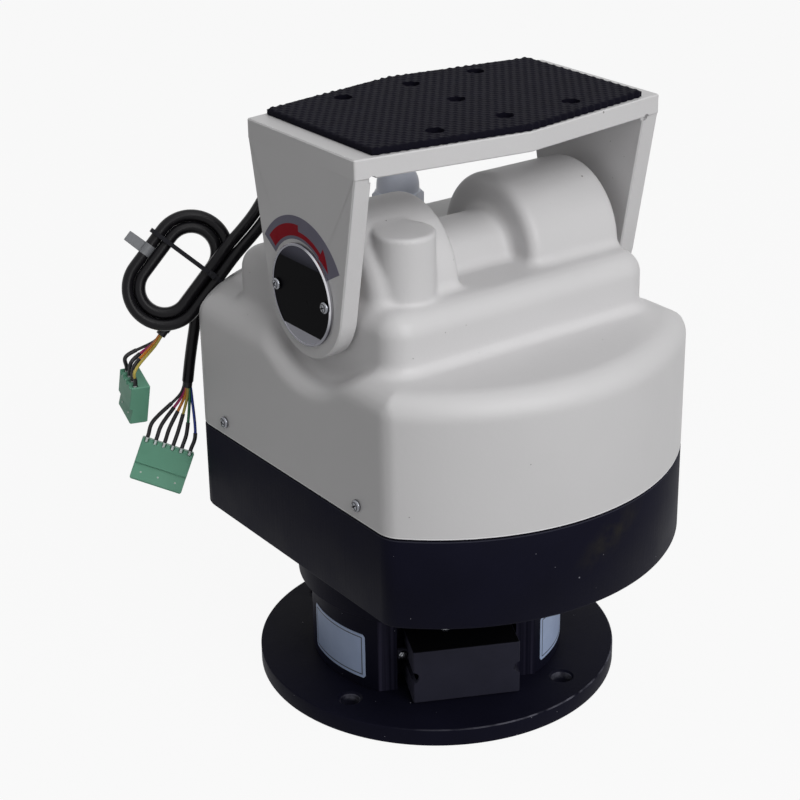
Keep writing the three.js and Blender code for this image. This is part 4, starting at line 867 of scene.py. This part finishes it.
def pad_rows():
    """Pad of rows along X: over each, the upper face carries small lozenges in offset rows,
    height = 0.55 max(cos(2 pi x / 5) cos(pi y / 3.2), 0) ^ 0.7, and the long edges wave with them."""
    x = np.linspace(-83, 83, 216)[:, None]
    across = np.linspace(-1, 1, 132)[None, :]
    width = 45.3 + 13.5 * (1 - np.abs(x) / 84) + 0.4 * np.cos(2 * np.pi * x / 5)
    y = across * width
    lozenge = np.maximum(np.cos(2 * np.pi * x / 5) * np.cos(np.pi * y / 3.2), 0) ** 0.7
    rim = np.clip((83 - np.abs(x)) / 1.2, 0, 1) * np.clip((1 - np.abs(across)) * width / 1.2, 0, 1)
    upper = 326.1 + 0.55 * lozenge * rim - 0.5 * (1 - rim) ** 2
    top = grid_points(x, y + tilt_y, upper)
    there_and_back = np.concatenate([top, top[:, ::-1]], 1)
    rows, ends = there_and_back.copy(), there_and_back[[0, -1]]
    rows[:, 132:, 2], ends[..., 2] = 323.1, 324.6
    return np.concatenate([ends[:1], rows, ends[1:]])


pad = surface("rubber_mat", pad_rows(), "yoke", sharp=60)
carved(pad, [rod(plate_hole, 320, 330, 40) + [x, y, 0] for x, y in plate_holes], sharp=60)
finished(pad, "rubber", "rubber_pad")


# ---- badge, end disc and arrow
def face_disc(name, side, radius, node, rim, material=None):
    """Disc on an arm's outer face: [radius, distance] profile with a raised rim, turned about the tilt axis."""
    profile = [[0, 94.3], [radius, 94.3], [radius, 95.5], [radius - 0.4, 95.9], [radius - rim, 95.9],
               [radius - rim - 0.3, 95.6], [0, 95.6]]
    piece = surface(name, on_arm(lathe(profile, 96), side), "yoke")
    finished(piece, "aluminium", node, material=material)


def badge_print_and_painted_light():
    """Badge face: a rim with a painted highlight at the front, a black middle band, and grey satin round it, with
    a painted reflection over its upper part that pales towards the top.
    """
    finish = Finish("badge_print_and_painted_light")
    across = finish.place("Y") - tilt_y
    up = finish.place("Z") - tilt_z
    radius = (across * across + up * up) ** 0.5
    rim = radius > 24.7
    band = (up > -18.5) * (up < 16.5)
    brushed = finish.noise(0.6, 2, (1, 1, 12))
    # Upper part: a painted reflection, dark by the band and paler towards the top.
    painted_reflection = finish.mix(((up - 16.5) / 7).clamped(), (50, 50, 60), (104, 104, 118))
    lower = finish.mix(brushed, (192, 192, 202), (206, 206, 216))
    grey = finish.mix(up > 0, lower, painted_reflection)
    face = finish.mix(band, grey, (9, 9, 13))
    # Painted highlight on the rim, towards the front and upper side.
    painted_highlight = ((-4 - across) / 10).clamped() * ((up + 12) / 12).clamped()
    colour = finish.mix(rim, face, finish.mix(painted_highlight, (112, 112, 119), (205, 205, 210)))
    rough = 0.3 - rim * 0.08 + (finish.noise(4) - 0.5) * 0.12
    return finish.close(colour, rough, finish.bump(finish.noise(1.0, 2), 0.01), rim, specular=0.012)


face_disc("badge", -1, 26, "badge_disc", 1.2, badge_print_and_painted_light())
face_disc("end_cap", 1, 20, "end_disc", 1.0)


def arc_sheet(name, turns, inner, outer, low, high, material):
    """Thin sheet on the left arm about a point near the axis, each radius given as turns and the radii there."""
    reach = np.stack([np.interp(turns, *radii) for radii in (inner, outer, outer, inner)], -1)
    turn = np.radians(turns)[:, None]
    depth = [-high, -high, -low, -low]
    rows = grid_points(depth, tilt_y + 2 + reach * np.cos(turn), tilt_z + 0.4 + reach * np.sin(turn))
    piece = surface(name, closed_ends(rows), "yoke", smooth=False)
    finished(piece, "black_plastic", material=material)


arc_sheet("arrow_field", np.linspace(34, 151, 60), ([90], [27]), ([90], [38.8]), 93.8, 94.08,
          plain_finish("field_grey_foil", (106, 104, 120), (120, 118, 134), 0.5, 1.5, 0.01, specular=0.1))
arrow_turns = np.sort(np.concatenate([np.linspace(39, 145, 54), [88, 88.05, 126, 126.05]]))
arc_sheet("arrow_print", arrow_turns, ([39, 88, 126, 126.05, 145], [28.7, 28.6, 28.4, 27.5, 29.2]),
          ([39, 88, 88.05, 126, 126.05, 145], [35.6, 34.4, 31.2, 30.8, 34.6, 29.5]), 94.0, 94.14,
          plain_finish("arrow_red_foil", (136, 0, 22), (150, 2, 28), 0.5, 1.5, 0.01, specular=0.05))


# ---- screws
def cross_form(size, depth, top):
    """A cross-shaped cutter that narrows towards its foot."""
    arm, half = size, size * 0.22
    quarter = np.array([[half, half], [half, arm], [-half, arm]])
    plan = np.vstack([quarter @ [[c, s], [-s, c]] for c, s in [(1, 0), (0, 1), (-1, 0), (0, -1)]])
    middle = np.zeros_like(plan)
    return stacked([(middle, top - depth), (plan * 0.72, top - depth), (plan, top + 1), (middle, top + 1)])


def screw_head(name, body, node, place, out, sizes, turn):
    """A screw built along +Z, its crown a quarter ellipse, its cross recess carved and painted dark as painted
    shade, then put in its place.
    """
    radius, height, shank, length, dome = sizes
    crown = np.linspace(0, np.pi / 2, 8)
    rim = height * (1 - dome)
    profile = [[0, -length], [shank, -length], [shank, 0], [radius, 0]]
    profile += np.stack([radius * np.cos(crown), rim + (height - rim) * np.sin(crown)], -1).tolist()
    piece = surface(name, lathe(profile, 32), body)
    carved(piece, [cross_form(radius * 0.66, height * 0.6, height)], sharp=45)
    centre = np.empty(3 * len(piece.data.polygons))
    piece.data.polygons.foreach_get("center", centre)
    x, y, z = centre.reshape(-1, 3).T / MM
    # Faces inside the cross recess, which take the dark material of painted shade.
    deep = (np.hypot(x, y) < radius * 0.73) & (z > 0.1) & (z < height * 0.82)
    out = unit(out)
    first = unit(np.cross([0.31, 0.2, 0.93], out))
    first, second = turned(first, np.cross(out, first), turn)
    piece.data.transform(placed(first, second, out, np.multiply(place, MM)))
    painted(finished(piece, "steel", node), [head_steel, painted_shade_recess], deep)


head_steel = turned_metal("screw_steel", (74, 76, 82), (160, 162, 168), 0.24)
# Dark material of the cross recesses: painted shade in the recess.
painted_shade_recess = plain_finish("screw_recess_painted_shade", (30, 30, 34), (58, 58, 64), 0.5, 0.4, 0.02, metallic=0.4)
# Radius and height of the head, radius and length of the shank, and the domed share of the head's height.
cover_screw, arm_screw = (3.2, 2.2, 1.5, 6.5, 0.75), (3.0, 1.7, 1.1, 5, 0.9)
pocket_screw, box_screw = (4.2, 4.4, 2.0, 9, 0.8), (2.4, 1.7, 1.2, 0.2, 0.8)
for name, side, end, turn in [("front_left", -1, -1, 20), ("rear_left", -1, 1, 65), ("front_right", 1, -1, 5),
                              ("rear_right", 1, 1, 50)]:
    place = (side * (plan_flat + 0.3), plan_y + end * (corner_y - 18.5), 148)
    screw_head(f"cover_screw_{name}", "housing", f"side_screw_{name}", place, (side, 0, 0), cover_screw, turn)
for name, side, y, turn in [("badge_front", -1, -41.4, 12), ("badge_rear", -1, 1.4, 48), ("end_front", 1, -35, 30),
                            ("end_rear", 1, -5, 70)]:
    screw_head(f"arm_screw_{name}", "yoke", name.replace("_", "_screw_"), (side * 96.2, y, tilt_z), (side, 0, 0),
               arm_screw, turn)
for name, node, place, out, sizes in [
        ("pocket_left", "pocket_screw_left", [70.5, -9.7, 57.7], -axis_z, pocket_screw),
        ("pocket_right", "pocket_screw_right", [70.5, 11.0, 57.7], -axis_z, pocket_screw),
        ("beside_box", "connector_screw", [57.3, -30.0, 33.1], flat_out, box_screw)]:
    screw_head(f"column_screw_{name}", "base", node, facing_flat(np.array(place)), out, sizes, 25)


# ---- cable gland
def hex_piece(name, section, node):
    """Turned form that stays inside a hexagon 26 across: r = min(profile, 13 / cos(t to a flat))."""
    turn = np.linspace(0, 2 * np.pi, 96, endpoint=False)
    section = np.array(section)
    reach = np.minimum(section[:, :1], 13 / np.cos((turn - np.pi / 6) % (np.pi / 3) - np.pi / 6))
    rows = grid_points(reach * np.cos(turn) + gland_x, reach * np.sin(turn) + gland_y, section[:, 1:])
    piece = surface(name, rows, "housing", wrap_rows=True, sharp=25)
    finished(piece, "gland_nylon", node)


hex_piece("gland_nut", [
    [7, 206], [10, 206], [10, 218.3], [14.0, 218.3], [15.1, 218.9], [15.1, 224.7], [14.0, 225.3], [8.75, 225.3],
    [8.75, 238], [7, 238]], "gland_body")
dome_turn = np.linspace(0, np.pi / 2, 9)
dome = np.column_stack([7.9 + 4.5 * np.cos(dome_turn), 243.5 + 9.5 * np.sin(dome_turn)])
hex_piece("gland_dome", [
    [9.05, 225.6], [14.0, 225.6], [15.1, 226.3], [15.1, 239.2], [13.2, 240.8], [12.4, 241.2], *dome,
    [7.3, 252.9], [7.05, 252.2], [7.05, 238.3], [9.05, 238.3]], "gland_cap")
seal = lathe(softened([[0, 246], [6.9, 246], [6.9, 251.4], [0, 250.6]], [0, 0.3, 0.8, 0]), 48)
finished(surface("gland_seal", seal + [gland_x, gland_y, 0], "housing"), "rubber")


# ---- blank labels on the column
def label_sheet(name, start, end):
    """Thin sheet with rounded corners that follows the column's round face between two turns."""
    turn = np.radians(np.linspace(start, end, 40))[:, None]
    from_end = np.minimum(turn - turn[0], turn[-1] - turn) * column_radius
    low, high, corner = 16, 43, 1.5
    cut = corner - np.sqrt(np.maximum(corner ** 2 - np.maximum(corner - from_end, 0) ** 2, 0))
    heights = np.concatenate([low + cut, high - cut, high - cut, low + cut], 1)
    reach = column_radius + np.array([0.16, 0.16, -0.1, -0.1])
    rows = grid_points(reach * np.cos(turn), reach * np.sin(turn), heights)
    finished(surface(name, closed_ends(rows), "base"), "black_plastic", material=label_paper(start, end))


def label_paper(start, end):
    """Pale satin film with a dark frame line: at two heights, and at two turns t, where x sin t - y cos t is 0."""
    finish = Finish("label_film")
    paper = finish.mix(finish.noise(7), (174, 192, 226), (192, 208, 240))
    inset, half_line, low, high = 1.8, 0.36, 18, 41
    first, last, z = finish.along(start + inset + 90), finish.along(end - inset + 90), finish.place("Z")
    upright = (abs(first) < half_line).most(abs(last) < half_line) * (z > low - 0.2) * (z < high + 0.2)
    level = (abs(z - low) < half_line).most(abs(z - high) < half_line) * (first > 0) * (last < 0)
    colour = finish.mix(upright.most(level) * 0.85, paper, (30, 32, 44))
    return finish.close(colour, 0.42 + finish.noise(3, 2) * 0.1, finish.bump(finish.noise(1.5, 2), 0.01),
                        specular=0.3)


label_sheet("label_left", 161.5, 200)
label_sheet("label_right", 287.5, 326)


# ---- stage and light
def softbox(name, azimuth, elevation, distance, size, power):
    """A square soft light that faces the object's middle."""
    data = bpy.data.lights.new(name, "AREA")
    data.shape = "SQUARE"
    data.size = size
    data.energy = power
    back = towards(azimuth, elevation)
    level = unit(np.cross(axis_z, back))
    stood(name, data, placed(level, np.cross(back, level), back, back * distance + axis_z * 0.18))


# A wide pale floor that shows the backdrop's white to the camera and keeps a soft shadow.
side = 6000
floor = make("stage_floor", stacked([(rectangle(-side, -side, side, side), -1.0)]), [[0, 1, 2, 3]], None,
             smooth=False, turn_out=False)
white = (1, 1, 1, 1)
finish = Finish("stage_floor")
matt = finish.node("BsdfDiffuse", {"Color": (0.42, 0.42, 0.42, 1)})
glow = finish.node("Emission", {"Color": white, "Strength": 1.0})
floor.data.materials.append(finish.white_where_seen(matt, glow, 0.93, "OutputMaterial"))

# White to the camera, to shiny surfaces and to clear ones, and a weaker white as the fill light.
world = Finish("backdrop", bpy.data.worlds.new("backdrop"))
fill, full = [world.node("Background", {"Color": white, "Strength": strength}) for strength in (0.14, 1.0)]
bpy.context.scene.world = world.white_where_seen(fill, full, 1.0, "OutputWorld")
softbox("key_light", -3, 33, 2.0, 1.5, 28)
softbox("top_light", -30, 74, 2.2, 1.4, 8)
bpy.context.scene.view_settings.view_transform = "Standard"
